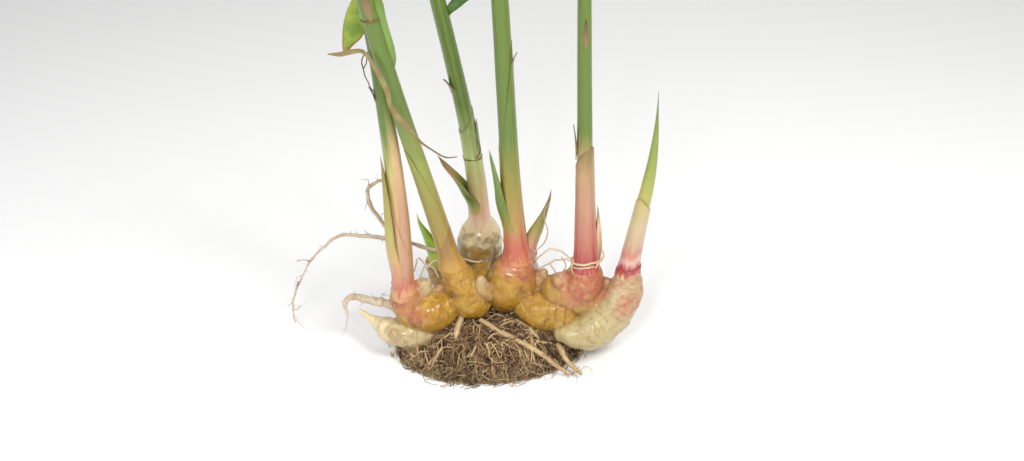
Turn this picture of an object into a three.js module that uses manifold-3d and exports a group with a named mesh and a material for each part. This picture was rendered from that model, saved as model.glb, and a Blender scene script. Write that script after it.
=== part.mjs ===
// A lifted clump of young ginger: one knobbly rhizome, the trimmed leafy stalks and young shoots
// that grow from it, and the mat of roots that it stands on.
// Millimetres, +Z up. The origin is on the resting face, under the middle of the root mat; -Y is the front.

import * as THREE from "three";
import { mergeVertices } from "three/addons/utils/BufferGeometryUtils.js";
import Module from "manifold-3d";

const wasm = await Module();
wasm.setup();

// ---- Driving dimensions -------------------------------------------------------------------------

const GAP = 0.3; // clearance between pieces that touch
const STALK_CUT = 250; // height at which the stalks are trimmed, give or take each stalk's own offset
const MAT = { length: 104, depth: 66, height: 19, middle: [-10, -7, 4] }; // the root mat's ellipsoid

const COLOURS = {
  rhizome: 0xcfa657,
  stalk: 0x86a04a,
  shoot: 0xc9c27a,
  blush: 0xd9a08c,
  leaf: 0x8fae3f,
  dry: 0x9a7b52,
  root: 0xb59a72,
  paleRoot: 0xd8ccb4,
};

// ---- Shape helpers ------------------------------------------------------------------------------

// Merges a geometry's shared corners and makes it a solid that can be joined and cut.
function solidOf(geometry) {
  const bare = geometry.clone();
  bare.deleteAttribute("normal");
  bare.deleteAttribute("uv");
  const merged = mergeVertices(bare, 1e-4);
  return new wasm.Manifold(
    new wasm.Mesh({
      numProp: 3,
      vertProperties: merged.attributes.position.array,
      triVerts: new Uint32Array(merged.index.array),
    }),
  );
}

// Turns a solid back into a geometry.
function geometryOf(solid) {
  const mesh = solid.getMesh();
  return new THREE.BufferGeometry()
    .setAttribute("position", new THREE.BufferAttribute(new Float32Array(mesh.vertProperties), 3))
    .setIndex(new THREE.BufferAttribute(new Uint32Array(mesh.triVerts), 1));
}

// Bends a unit capsule or cylinder, whose length runs along Y, onto a smooth curve through the points.
// The radii are spaced evenly along the curve; flat thins the section across the curve's own normal.
function bend(geometry, steps, { points, radii, flat = 1 }, grow) {
  const curve = new THREE.CatmullRomCurve3(points.map((p) => new THREE.Vector3(...p)));
  const frames = curve.computeFrenetFrames(steps);
  const girth = new THREE.SplineCurve(radii.map((r, i) => new THREE.Vector2(i, r + grow)));
  const position = geometry.getAttribute("position");
  for (let i = 0; i < position.count; i++) {
    const along = THREE.MathUtils.clamp(position.getY(i) + 0.5, 0, 1);
    const past = position.getY(i) + 0.5 - along;
    const station = Math.round(along * steps);
    const radius = girth.getPoint(along).y;
    const at = curve
      .getPointAt(station / steps)
      .addScaledVector(frames.binormals[station], position.getX(i) * radius)
      .addScaledVector(frames.normals[station], position.getZ(i) * (radius * flat + grow * (1 - flat)))
      .addScaledVector(frames.tangents[station], past * radius);
    position.setXYZ(i, at.x, at.y, at.z);
  }
  return solidOf(geometry);
}

// A limb with round ends, such as a lobe, a bud or a root.
function limb(shape, grow = 0) {
  const { sides = 12, steps = 5, capRings = 2 } = shape;
  return bend(new THREE.CapsuleGeometry(1, 1, capRings, sides, steps), steps, shape, grow);
}

// A limb with flat ends, such as a trimmed stalk.
function stem(shape, grow = 0) {
  const { sides = 10, steps = 8 } = shape;
  return bend(new THREE.CylinderGeometry(1, 1, 1, sides, steps), steps, shape, grow);
}

// ---- The rhizome: lobes, necks and buds, grown together as one solid -------------------------------

const LOBES = [
  // the left crown: its neck, its two bulges and the pale finger that ends in a pointed bud
  { points: [[-60, -6, 48], [-58.5, -8, 38], [-55, -8, 28]], radii: [6.6, 9.4, 10.5] },
  { points: [[-50, -9, 30], [-43, -9, 29], [-34, -6, 30]], radii: [11, 12.6, 9] },
  {
    points: [[-42, -12, 15], [-56, -13, 15], [-68, -11, 16.5], [-77, -6.5, 19], [-87, -1, 25]],
    radii: [7, 9.3, 8.3, 3.8, 0.8],
    steps: 9,
  },
  // the inner left crown, leaning with its stalk
  { points: [[-19, -2, 31], [-22, -2, 35], [-26, -1, 45], [-30, -1, 56]], radii: [11.5, 13, 10, 6.5], steps: 7 },
  // the middle crown
  { points: [[2, 4, 31], [4.5, 4, 38], [7, 5, 48], [9, 6, 58]], radii: [13, 15.4, 12, 7], steps: 7 },
  // the back crown, with the necks that tie it and a small side lobe to the rest
  { points: [[-13, 31, 38], [-14, 34, 45], [-13, 35, 54], [-13, 35, 62]], radii: [12, 14, 11.5, 6.8], steps: 7 },
  { points: [[-14, 28, 36], [-8, 12, 34]], radii: [9, 10] },
  { points: [[-40, 20, 43], [-36, 14, 36], [-26, 4, 32]], radii: [7.5, 8, 9] },
  // the right crown: a low bulge, a broad shoulder and the neck of its stalk
  { points: [[10, 0, 30], [20, -9, 27], [33, -12, 27]], radii: [9, 11, 12] },
  { points: [[34, -6, 38], [42, -7, 38], [48, -8, 37]], radii: [11.5, 14, 13] },
  { points: [[46, -8, 42], [48, -10, 50], [48.5, -10, 58]], radii: [13, 11, 7.4] },
  // the pale outer finger that turns up into the young shoot
  {
    points: [[34, -22, 19], [46, -25, 19], [58, -22, 25], [67.5, -18, 36], [72, -16, 47], [73.2, -16, 58]],
    radii: [5.6, 9.4, 11.4, 11.5, 9.8, 6.6],
    steps: 10,
  },
];

const BUDS = [
  { points: [[-52, -4, 39], [-48, -5, 44], [-45.5, -6, 48]], radii: [7.2, 5.6, 2.6] },
  { points: [[-65, -17, 18], [-66.5, -20, 21.5]], radii: [4.2, 2.2] },
  { points: [[-39.5, -4, 40], [-38.5, -5, 43]], radii: [3.2, 2.2] },
  { points: [[-11, -4, 37], [-13, -6, 43], [-13.5, -6.5, 48.5]], radii: [5.6, 5, 2.8] },
  { points: [[18, 3, 39], [22.5, 3, 43], [24.5, 2, 47]], radii: [5.6, 4.2, 2] },
  { points: [[17, 0, 36], [23, -1, 36]], radii: [4, 2.4] },
  { points: [[34, -7, 41], [35, -9, 47], [35.5, -10, 52]], radii: [7.4, 5.8, 3] },
  { points: [[57, -10, 44], [60.5, -11.5, 48]], radii: [4.4, 2.8] },
].map((bud) => ({ ...bud, sides: 8, steps: 2 }));

const rhizomeAt = (grow) => wasm.Manifold.union([...LOBES, ...BUDS].map((shape) => limb(shape, grow)));

// ---- Stalks, shoots, sheaths and leaves ------------------------------------------------------------

// Stalks start inside the rhizome and are cut back to its skin; the last point of each is its trimmed end.
const STALKS = {
  stalk_left: {
    points: [[-59.5, -8, 38], [-58.5, -10, 75], [-57.4, -10, 110], [-59.6, -10, 148], [-62.5, -7, 187],
      [-67.4, -2, STALK_CUT - 5]],
    radii: [6.2, 5.6, 5.1, 4.2, 3.8, 3.6],
  },
  stalk_inner_left: {
    points: [[-24.5, -1, 44], [-32.5, -3, 71], [-39.7, -6, 105], [-47.9, -12, 149], [-57.4, -18, 196],
      [-66.2, -24, STALK_CUT]],
    radii: [8.2, 5.6, 5, 4.4, 4.5, 4.5],
  },
  stalk_back: {
    points: [[-13, 35, 52], [-14, 33, 80], [-16.3, 30, 116], [-19.9, 27, 152], [-26, 25, 190],
      [-34.4, 22, STALK_CUT - 8]],
    radii: [7.2, 5.6, 4.8, 4.5, 4.3, 4],
  },
  stalk_middle: {
    points: [[8.6, 6, 48], [7.4, 3, 75], [5.9, 1, 102], [5.4, 0, 135], [4.4, -1, 190], [2.2, -2, STALK_CUT + 6]],
    radii: [8.2, 5.9, 5.3, 4.8, 4.5, 4.2],
  },
  stalk_right: {
    points: [[48.5, -10, 50], [48.2, -10, 80], [47.6, -10, 115], [47.2, -10, 155], [47.1, -10, 200],
      [46.8, -10, STALK_CUT + 1]],
    radii: [7.8, 5.7, 4.9, 4.3, 3.9, 3.8],
  },
};

const SHOOTS = {
  young_shoot_right: {
    points: [[72.5, -16, 50], [75, -17, 72], [79, -19, 102], [83, -20, 133], [85.6, -20, 158], [85.7, -20, 178]],
    radii: [8.2, 5.6, 4.5, 3.1, 1.9, 0.4],
    steps: 10,
  },
  leafy_shoot: {
    points: [[14, 9, 46], [16.5, 12, 62], [22, 13, 78], [29.5, 13, 98]],
    radii: [4.8, 5, 4, 0.7],
    flat: 0.7,
  },
  green_shoot: {
    points: [[-40, 19, 46], [-43, 17, 62], [-46, 15, 74], [-49.5, 14, 84]],
    radii: [5, 3.8, 2.8, 0.6],
  },
  right_side_shoot: {
    points: [[52, -9, 50], [53.5, -9, 66], [54.8, -9, 84], [54.8, -9, 100]],
    radii: [4.6, 3.4, 2.6, 0.6],
  },
  middle_side_sheath: {
    points: [[2, 1, 84], [0, -1, 104], [-2.6, -2, 120], [-5, -2, 135]],
    radii: [3.6, 3.4, 2.4, 0.5],
  },
  back_side_sheath: {
    points: [[-17, 30, 78], [-21.5, 27, 92], [-27.5, 23, 106], [-35, 19, 120]],
    radii: [4.2, 3.6, 2.4, 0.6],
  },
  left_outer_sheath: {
    points: [[-62, -11, 56], [-62, -12, 86], [-62.8, -12, 112], [-65.2, -12, 140]],
    radii: [4.2, 4.2, 3.4, 0.6],
  },
  leaf_sheath: {
    points: [[-52, -16, 190], [-55, -17, 206], [-57.5, -19, 223], [-60.5, -21.5, STALK_CUT - 3]],
    radii: [0.8, 2.8, 3.2, 3.4],
  },
};

const LEAVES = {
  drooping_leaf: {
    points: [[-65, 2, 232], [-69.5, 2, 220], [-74, 0, 210], [-79, -2, 199]],
    radii: [4, 6, 6, 1.5],
    flat: 0.25,
  },
  back_leaf: {
    points: [[-26, 24, 205.2], [-20.3, 24, 212], [-15.8, 24, 214.2], [-5.9, 24, 218.5]],
    radii: [1.2, 3, 3.4, 0.8],
    flat: 0.35,
  },
  dried_strip: {
    points: [[-87, -15, 204], [-74, -18, 206.7], [-64.5, -23, 205], [-58.5, -26, 192], [-56.5, -27, 180],
      [-50.5, -27, 169.5], [-42, -24, 155], [-30.3, 0, 130.4], [-24, 12, 123]],
    radii: [0.6, 1.5, 1.6, 1.6, 1.6, 1.8, 0.9, 0.6, 0.5],
    flat: 0.4,
    steps: 18,
    sides: 8,
  },
};

// ---- Roots -----------------------------------------------------------------------------------------

const ROOTS = {
  long_root: {
    points: [[-40, 12, 58], [-60, 8, 69], [-78, 8, 73], [-95.5, 8, 73.5], [-106, 7, 67], [-116, 6, 55], [-125, 5, 38],
      [-128.5, 4, 26], [-128, 4, 14]],
    radii: [1.2, 1.4, 1.3, 1, 0.8, 0.7, 0.6, 0.6, 0.5],
  },
  loop_root: {
    points: [[-66, 9.4, 74], [-71, 7, 86], [-76, 6, 97], [-75.6, 5, 108], [-70, 4, 113], [-64, 3, 115.5]],
    radii: [0.9, 1.2, 1.3, 1.2, 1, 0.8],
  },
  thick_root: {
    points: [[-60, -4, 27], [-73, -3, 32], [-82, -3, 35], [-91, -3, 37], [-95.6, -4, 33], [-93.8, -6, 26]],
    radii: [2.6, 2.8, 2.5, 2.1, 1.5, 1],
  },
  white_root: {
    points: [[-26, -10, 25], [-28.5, -19, 21], [-29, -27, 13], [-29.5, -36, 5]],
    radii: [2, 2.1, 2.4, 1.5],
  },
  tan_root: {
    points: [[-15, -13, 24], [-6, -20, 22], [6, -27, 19], [20, -34, 14], [30, -38, 6], [38, -41, 2.4]],
    radii: [1.4, 1.8, 1.7, 1.5, 1.2, 0.8],
  },
  short_root: {
    points: [[31, -24, 12], [36, -34, 8], [44, -42, 3]],
    radii: [2, 1.7, 1],
  },
};

// A root that was snapped off short, between the back and the middle crowns.
const ROOT_STUB = { points: [[-9, 12, 42], [-5.5, 17.5, 55]], radii: [2.2, 1.9], steps: 3 };

// ---- Building --------------------------------------------------------------------------------------

// The root mat: an ellipsoid cut flat by the surface that the clump stands on.
function rootMat() {
  const dome = new THREE.SphereGeometry(0.5, 20, 10)
    .rotateX(Math.PI / 2)
    .scale(MAT.length, MAT.depth, 2 * MAT.height)
    .translate(...MAT.middle);
  const below = new THREE.BoxGeometry(2 * MAT.length, 2 * MAT.depth, MAT.length);
  below.translate(MAT.middle[0], MAT.middle[1], -MAT.length / 2);
  return solidOf(dome).subtract(solidOf(below));
}

const clump = new THREE.Group();
const taken = []; // what is already placed, grown by the gap, which each later piece is cut back from

function place(name, colour, solid, grown, roughness = 0.6) {
  const fitted = taken.reduce((rest, other) => rest.subtract(other), solid);
  const material = new THREE.MeshStandardMaterial({ color: colour, roughness, metalness: 0 });
  const mesh = new THREE.Mesh(geometryOf(fitted), material);
  mesh.name = name;
  clump.add(mesh);
  if (grown) taken.push(grown);
}

place("rhizome", COLOURS.rhizome, rhizomeAt(0), rhizomeAt(GAP), 0.5);
for (const [name, shape] of Object.entries(STALKS))
  place(name, COLOURS.stalk, stem(shape), stem(shape, GAP), 0.45);
for (const [name, shape] of Object.entries(SHOOTS))
  place(name, COLOURS.shoot, limb({ steps: 6, sides: 8, ...shape }),
    limb({ steps: 6, sides: 8, ...shape }, GAP), 0.45);
for (const [name, shape] of Object.entries(LEAVES))
  place(name, name === "dried_strip" ? COLOURS.dry : COLOURS.leaf, limb({ steps: 8, sides: 10, ...shape }),
    limb({ steps: 8, sides: 10, ...shape }, GAP));
place("root_stub", COLOURS.paleRoot, stem({ sides: 8, ...ROOT_STUB }), stem({ sides: 8, ...ROOT_STUB }, GAP));
for (const [name, shape] of Object.entries(ROOTS)) {
  const thin = { sides: 6, steps: 2 * shape.points.length, capRings: 1, ...shape };
  place(name, name === "white_root" ? COLOURS.paleRoot : COLOURS.root, limb(thin), limb(thin, GAP), 0.8);
}
place("root_mat", COLOURS.root, rootMat(), null, 0.9);

export default clump;
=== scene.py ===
"""A freshly lifted ginger clump: rhizome, leaf stalks, shoots, sheaths, leaves and roots.

Lengths in this file are millimetres in the frame's own axes, and become metres when a mesh is made.
"""
import math

import bpy
import numpy as np
from bpy.props import FloatProperty, FloatVectorProperty, IntProperty, PointerProperty
from mathutils import Matrix, Vector


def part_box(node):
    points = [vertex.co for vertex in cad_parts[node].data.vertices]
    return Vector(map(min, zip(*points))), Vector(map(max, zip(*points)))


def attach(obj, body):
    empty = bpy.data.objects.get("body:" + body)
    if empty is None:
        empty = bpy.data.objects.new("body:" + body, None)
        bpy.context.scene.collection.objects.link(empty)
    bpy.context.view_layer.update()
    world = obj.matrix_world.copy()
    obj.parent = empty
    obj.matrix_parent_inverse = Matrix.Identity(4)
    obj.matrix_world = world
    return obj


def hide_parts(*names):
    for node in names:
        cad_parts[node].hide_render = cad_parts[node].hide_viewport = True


bl_info = {
    "name": "Ginger clump",
    "version": (1, 0, 0),
    "blender": (4, 5, 0),
    "location": "3D View > Sidebar > Ginger",
    "description": "Builds a freshly lifted ginger clump round its fixed frame",
    "category": "Add Mesh",
}

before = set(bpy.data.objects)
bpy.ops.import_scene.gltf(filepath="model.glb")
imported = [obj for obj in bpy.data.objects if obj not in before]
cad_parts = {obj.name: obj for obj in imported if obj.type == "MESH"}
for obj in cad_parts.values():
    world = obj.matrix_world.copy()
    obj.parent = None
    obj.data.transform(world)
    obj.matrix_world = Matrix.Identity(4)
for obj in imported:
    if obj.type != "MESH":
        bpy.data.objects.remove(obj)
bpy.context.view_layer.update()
MM = 0.001
SEED = 7
FIELD_MARGIN = 8  # how far the grid of the rhizome's surface reaches past its frame, mm
ROOT_PITS = 46
COARSE_ROOTS = 90
FRINGE_ROOTS = 900
WORLD_LIGHT = 0.36


def srgb(red, green, blue):
    """A display colour, 0 to 255, as the linear colour that shaders take."""
    shades = [value / 255 for value in (red, green, blue)]
    linear = [v / 12.92 if v <= 0.04045 else ((v + 0.055) / 1.055) ** 2.4 for v in shades]
    return (*linear, 1.0)


# ---- Settings ----------------------------------------------------------------------------------


def colour(name, description, *display):
    """A colour setting whose default is a display colour."""
    return FloatVectorProperty(
        name=name, description=description, subtype="COLOR", size=4, min=0, max=1, default=srgb(*display)
    )


class GingerSizes(bpy.types.PropertyGroup):
    """Sizes that shape the clump, in millimetres unless a unit says otherwise."""

    skin_step: FloatProperty(
        name="Skin step", description="Width of the rhizome's mesh cells, mm", default=0.75, min=0.5, max=3
    )
    crease_blend: FloatProperty(
        name="Crease blend", description="How softly two lobes run together, mm", default=2.2, min=0.2, max=8
    )
    ring_gap: FloatProperty(
        name="Ring gap", description="Distance between two leaf scars on a lobe, mm", default=5.2, min=2,
        max=12
    )
    ring_height: FloatProperty(
        name="Ring height", description="Height of the step at a leaf scar, mm", default=0.45, min=0, max=2
    )
    stem_sides: IntProperty(name="Stem sides", description="Points round a stalk", default=56, min=12,
                            max=128)
    fine_roots: IntProperty(
        name="Fine roots", description="Root fibres in each layer of the mat", default=900, min=50, max=1300
    )


class GingerColours(bpy.types.PropertyGroup):
    """Colours of the clump and of the floor that it stands on."""

    gold: colour("Gold", "Ripe rhizome skin", 192, 150, 52)
    amber: colour("Amber", "Darker patches of ripe skin", 172, 124, 32)
    # Bark also serves as painted shade in the creases between lobes.
    bark: colour("Bark", "Scars, creases and wrinkles", 118, 76, 34)
    cream: colour("Cream", "Young rhizome skin", 196, 184, 140)
    ivory: colour("Ivory", "Buds and young sheaths", 230, 212, 180)
    blush: colour("Blush", "Pink at the foot of a stalk", 192, 106, 88)
    crimson: colour("Crimson", "Deep red of a young collar", 166, 46, 58)
    rose: colour("Rose", "Pinkish cream of a stalk's lower sheath", 186, 142, 110)
    olive: colour("Olive", "Yellowish lower stalk", 146, 132, 44)
    leaf: colour("Leaf", "Fresh green of a stalk", 88, 114, 22)
    bright: colour("Bright", "Lightest green", 138, 162, 52)
    deep: colour("Deep", "Darkest green", 60, 82, 26)
    tan: colour("Tan", "Dry outer sheath", 186, 152, 98)
    husk: colour("Husk", "Dried leaf", 122, 92, 54)
    root_cream: colour("Root cream", "Fleshy young root", 190, 164, 120)
    root_tan: colour("Root tan", "Older root", 126, 96, 62)
    root_brown: colour("Root brown", "Deep root fibre", 74, 50, 32)
    floor: colour("Floor", "Floor and surroundings", 242, 242, 242)


def sizes():
    """The scene's own sizes."""
    return bpy.context.scene.ginger_sizes


def colours():
    """The scene's own colours."""
    return bpy.context.scene.ginger_colours


# ---- Numbers -----------------------------------------------------------------------------------


def smoothstep(value, low, high):
    """0 below low, 1 above high, and 3 t squared less 2 t cubed between them."""
    t = np.clip((value - low) / (high - low), 0, 1)
    return t * t * (3 - 2 * t)


def unit(vectors):
    """The vectors, each divided by its length."""
    return vectors / np.maximum(np.linalg.norm(vectors, axis=-1, keepdims=True), 1e-9)


def ripple(points, size, seed, octaves=2):
    """Smooth noise from about -1 to 1: a mean of sine waves about size long, in random directions."""
    rng = np.random.default_rng(seed)
    total = np.zeros(points.shape[:-1])
    for octave in range(octaves):
        waves = unit(rng.normal(size=(7, 3))) * rng.uniform(0.7, 1.3, (7, 1))
        phases = rng.uniform(0, 2 * math.pi, 7)
        angles = points @ (waves.T * (2 * math.pi * 2**octave / size)) + phases
        total += 0.5**octave * 1.5 * np.sin(angles).mean(-1)
    return total


def smooth_path(points, count):
    """Catmull-Rom curve through the points: each stretch is the cubic that leaves and meets its ends
    along the line between their neighbours. Extra columns, such as a radius, are carried along."""
    knots = np.asarray(points, float)
    padded = np.vstack([2 * knots[0] - knots[1], knots, 2 * knots[-1] - knots[-2]])
    place = np.linspace(0, len(knots) - 1, count)
    start = np.minimum(place.astype(int), len(knots) - 2)
    t = (place - start)[:, None]
    a, b, c, d = (padded[start + k] for k in range(4))
    return b + 0.5 * t * (c - a + t * (2 * a - 5 * b + 4 * c - d + t * (3 * (b - c) + d - a)))


def frames(path, front=None):
    """Two directions square to the path at each point. The first is the one nearest to front, which is
    the direction that the path runs along least where none is given, and the second is to its right."""
    tangent = unit(np.gradient(path, axis=0))
    if front is None:
        front = np.linalg.svd(tangent)[2][-1]
    ahead = unit(front - (tangent @ front)[:, None] * tangent)
    return ahead, np.cross(tangent, ahead)


def lengths_along(path):
    """Distance along the path to each of its points."""
    return np.concatenate([[0], np.cumsum(np.linalg.norm(np.diff(path, axis=0), axis=1))])


# ---- Meshes ------------------------------------------------------------------------------------


def make_mesh(name, points, quads, triangles, fields, material, stands_for=()):
    """A piece from points in millimetres, quads and triangles. Faces are turned over together where
    the sum of their corners' triple products, six times the volume, is negative."""
    corners = np.concatenate([quads[:, [0, 1, 2]], quads[:, [0, 2, 3]], triangles])
    a, b, c = (points[corners[:, k]] for k in range(3))
    if np.einsum("ij,ij->", a, np.cross(b, c)) < 0:
        quads, triangles = quads[:, ::-1], triangles[:, ::-1]
    mesh = bpy.data.meshes.new(name)
    mesh.vertices.add(len(points))
    mesh.vertices.foreach_set("co", (points * MM).astype(np.float32).ravel())
    loops = np.concatenate([quads.ravel(), triangles.ravel()]).astype(np.int32)
    counts = np.concatenate([np.full(len(quads), 4), np.full(len(triangles), 3)]).astype(np.int32)
    mesh.loops.add(len(loops))
    mesh.loops.foreach_set("vertex_index", loops)
    mesh.polygons.add(len(counts))
    mesh.polygons.foreach_set("loop_start", np.concatenate([[0], np.cumsum(counts)[:-1]]).astype(np.int32))
    mesh.update(calc_edges=True)
    mesh.validate()
    mesh.shade_smooth()
    for field, values in fields.items():
        kind = "FLOAT_VECTOR" if values.ndim == 2 else "FLOAT"
        layer = mesh.attributes.new(field, kind, "POINT")
        layer.data.foreach_set("vector" if values.ndim == 2 else "value", values.astype(np.float32).ravel())
    piece = bpy.data.objects.new(name, mesh)
    bpy.context.scene.collection.objects.link(piece)
    mesh.materials.append(material)
    if stands_for:
        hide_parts(*stands_for)
    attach(piece, "root")
    return piece


def ring_mesh(name, rings, fields, material, stands_for=()):
    """A piece from rings of points, an array of strands by stations by sides: each ring is joined to the
    next one of its strand by quads, and each strand's two ends close on the middle of their rings."""
    strands, stations, sides = rings.shape[:3]
    index = np.arange(strands * stations * sides).reshape(strands, stations, sides)
    beside = np.roll(index, -1, axis=2)
    quads = np.stack([index[:, :-1], beside[:, :-1], beside[:, 1:], index[:, 1:]], -1).reshape(-1, 4)
    ends = index.size + np.arange(2 * strands).reshape(2, strands, 1)
    first = np.stack([beside[:, 0], index[:, 0], np.broadcast_to(ends[0], index[:, 0].shape)], -1)
    last = np.stack([index[:, -1], beside[:, -1], np.broadcast_to(ends[1], index[:, -1].shape)], -1)
    triangles = np.concatenate([first.reshape(-1, 3), last.reshape(-1, 3)])

    def flat(values):
        """Values at every ring point in turn, then the mean of each end ring."""
        values = np.broadcast_to(values, rings.shape[:3] + values.shape[3:])
        tail = values.shape[3:]
        caps = [values[:, k].mean(1) for k in (0, -1)]
        return np.concatenate([values.reshape(-1, *tail), *caps])

    spread = {field: flat(np.asarray(values, float)) for field, values in fields.items()}
    return make_mesh(name, flat(rings), quads, triangles, spread, material, stands_for)


# ---- Shaders -----------------------------------------------------------------------------------


class Value:
    """A number output of a node tree. Arithmetic on it adds Math nodes."""

    def __init__(self, sketch, socket):
        self.sketch = sketch
        self.socket = socket

    def math(self, operation, *others):
        """A Math node fed by this number and the others."""
        return self.sketch.node("ShaderNodeMath", {"operation": operation}, self, *others)

    def __add__(self, other):
        return self.math("ADD", other)

    def __sub__(self, other):
        return self.math("SUBTRACT", other)

    def __mul__(self, other):
        return self.math("MULTIPLY", other)

    def __rsub__(self, other):
        return self.sketch.node("ShaderNodeMath", {"operation": "SUBTRACT"}, other, self)

    def __pow__(self, other):
        return self.math("POWER", other)

    __radd__ = __add__
    __rmul__ = __mul__


class Sketch:
    """One material's node tree."""

    def __init__(self, name):
        self.material = bpy.data.materials.new(name)
        self.material.use_nodes = True
        self.tree = self.material.node_tree
        self.tree.nodes.clear()

    def node(self, kind, settings, *values, output=0, **named):
        """Adds a node, makes its settings, then fills its sockets by order or by name."""
        node = self.tree.nodes.new(kind)
        for key, setting in settings.items():
            if key == "stops":
                ramp = node.color_ramp
                while len(ramp.elements) < len(setting):
                    ramp.elements.new(0.5)
                for element, (place, tint) in zip(ramp.elements, setting):
                    element.position = place
                    element.color = tint
            else:
                setattr(node, key, setting)
        inputs = dict(enumerate(values))
        inputs.update({key.replace("_", " "): value for key, value in named.items()})
        for key, value in inputs.items():
            socket = node.inputs[key]
            if isinstance(value, Value):
                self.tree.links.new(value.socket, socket)
            else:
                socket.default_value = value
        return Value(self, node.outputs[output])

    def field(self, name, output=2):
        """A mesh attribute: its number, or its vector with output 1."""
        return self.node("ShaderNodeAttribute", {"attribute_name": name}, output=output)

    def place(self):
        """Object coordinates, in metres."""
        return self.node("ShaderNodeTexCoord", {}, output=3)

    def noise(self, where, scale, detail=3.0, roughness=0.55, distortion=0.0):
        """Fractal noise from 0 to 1, with scale lumps to one unit of where."""
        return self.node(
            "ShaderNodeTexNoise", {}, Vector=where, Scale=scale, Detail=detail, Roughness=roughness,
            Distortion=distortion
        )

    def step(self, value, low, high):
        """0 below low and 1 above high, with a smooth rise between them."""
        return self.node("ShaderNodeMapRange", {"interpolation_type": "SMOOTHSTEP"}, value, low, high)

    def mix(self, factor, under, over):
        """The colour over laid on the colour under by a factor."""
        node = self.tree.nodes.new("ShaderNodeMix")
        node.data_type = "RGBA"
        for key, value in (("Factor_Float", factor), ("A_Color", under), ("B_Color", over)):
            socket = next(s for s in node.inputs if s.identifier == key)
            if isinstance(value, Value):
                self.tree.links.new(value.socket, socket)
            else:
                socket.default_value = value
        return Value(self, next(s for s in node.outputs if s.identifier == "Result_Color"))

    def ramp(self, value, stops):
        """The colour that the stops give for a value from 0 to 1."""
        return self.node("ShaderNodeValToRGB", {"stops": stops}, value)

    def finish(self, base, rough, height=None, relief=0.1, **constants):
        """The surface: base colour, roughness and relief vary, and the constants stay on their sockets."""
        shader = self.tree.nodes.new("ShaderNodeBsdfPrincipled")
        links = {"Base Color": base, "Roughness": rough}
        if height is not None:
            links["Normal"] = self.node("ShaderNodeBump", {}, Strength=1.0, Distance=relief * MM,
                                        Height=height)
        for key, value in links.items():
            if isinstance(value, Value):
                self.tree.links.new(value.socket, shader.inputs[key])
            else:
                shader.inputs[key].default_value = value
        for key, value in constants.items():
            shader.inputs[key.replace("_", " ")].default_value = value
        output = self.tree.nodes.new("ShaderNodeOutputMaterial")
        self.tree.links.new(shader.outputs[0], output.inputs[0])
        return self.material


def rhizome_skin():
    """Thin golden skin: amber patches, brown scars, cream on young lobes, pink by the stalks, and painted
    shade in the creases.
    """
    c = colours()
    s = Sketch("rhizome_skin")
    where = s.place()
    broad = s.noise(where, 75, 3)
    patches = s.noise(where, 230, 4, 0.6, 0.6)
    fine = s.noise(where, 1100, 4, 0.65)
    veins = s.noise(where, 420, 5, 0.7, 1.6)
    pale, pink = s.field("pale"), s.field("pink")
    line, crease, speck = s.field("line"), s.field("crease"), s.field("speck")
    ripe = s.mix(s.step(broad * 0.5 + patches * 0.5, 0.38, 0.66), c.amber, c.gold)
    ripe = s.mix(s.step(patches, 0.5, 0.8) * 0.45, ripe, srgb(220, 180, 88))
    young = s.mix(s.step(patches, 0.35, 0.7) * 0.5, c.cream, srgb(188, 164, 100))
    young = s.mix(s.step(pale, 1.0, 1.7), young, srgb(238, 222, 176))
    base = s.mix(pale, ripe, young)
    thread = s.step(veins, 0.485, 0.5) * (1 - s.step(veins, 0.5, 0.515))
    base = s.mix(thread * (0.65 - pale * 0.25), base, c.bark)
    base = s.mix(line * (0.8 - pale * 0.3), base, c.bark)
    # Painted shade: bark colour darkens the creases where lobes meet.
    base = s.mix(crease * (0.75 - pale * 0.25), base, c.bark)
    streaks = s.step(s.noise(where, 160, 3, 0.6, 0.4), 0.25, 0.75)
    base = s.mix(pink * (0.45 + streaks * 0.45), base, c.blush)
    base = s.mix(s.step(pink, 0.75, 1.0) * streaks * 0.45, base, c.crimson)
    base = s.mix(speck, base, srgb(64, 40, 22))
    rough = 0.3 + fine * 0.16 + crease * 0.2 + thread * 0.1
    height = fine * 0.5 + patches * 0.7 - thread * 0.8 - line * 0.5
    return s.finish(
        base, rough, height, 0.2, Coat_Weight=0.45, Coat_Roughness=0.16, Subsurface_Weight=0.16,
        Subsurface_Radius=(1.0, 0.5, 0.15), Subsurface_Scale=0.003, IOR=1.45
    )


def stem_skin(name, stops, left_stops=None, streak=0.35, brown=0.25):
    """Leaf sheath: colours by height, by side where the left differs, with fine lengthwise streaks."""
    c = colours()
    s = Sketch(name)
    grain = s.field("grain", 1)
    where = s.place()
    rise = s.field("rise")
    wander = s.noise(grain, 0.35, 3, 0.6)
    height_now = rise + (wander - 0.5) * 0.16
    base = s.ramp(height_now, stops)
    if left_stops:
        divide = s.step(s.field("side") + (wander - 0.5) * 0.35, -0.12, 0.06)
        base = s.mix(divide, s.ramp(height_now, left_stops), base)
    fibres = s.noise(grain, 2.6, 4, 0.7)
    broad = s.noise(grain, 0.7, 2, 0.5)
    fine = s.noise(where, 900, 3, 0.6)
    base = s.mix(s.step(fibres, 0.52, 0.78) * streak, base, c.bright)
    base = s.mix((1 - s.step(fibres, 0.3, 0.5)) * streak * 0.7, base, c.deep)
    scuffs = s.step(s.noise(grain, 0.55, 5, 0.75, 0.5), 0.56, 0.68)
    base = s.mix(scuffs * brown, base, c.husk)
    base = s.mix(s.field("edge") * 0.55, base, c.husk)
    base = s.mix(s.field("cut") * 0.8, base, srgb(206, 204, 140))
    rough = 0.3 + fibres * 0.2 + scuffs * 0.2
    return s.finish(
        base, rough, fibres * 0.7 + broad * 0.6 + fine * 0.15, 0.16, Coat_Weight=0.55, Coat_Roughness=0.2,
        Subsurface_Weight=0.12, Subsurface_Radius=(0.6, 0.8, 0.2), Subsurface_Scale=0.002
    )


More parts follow.
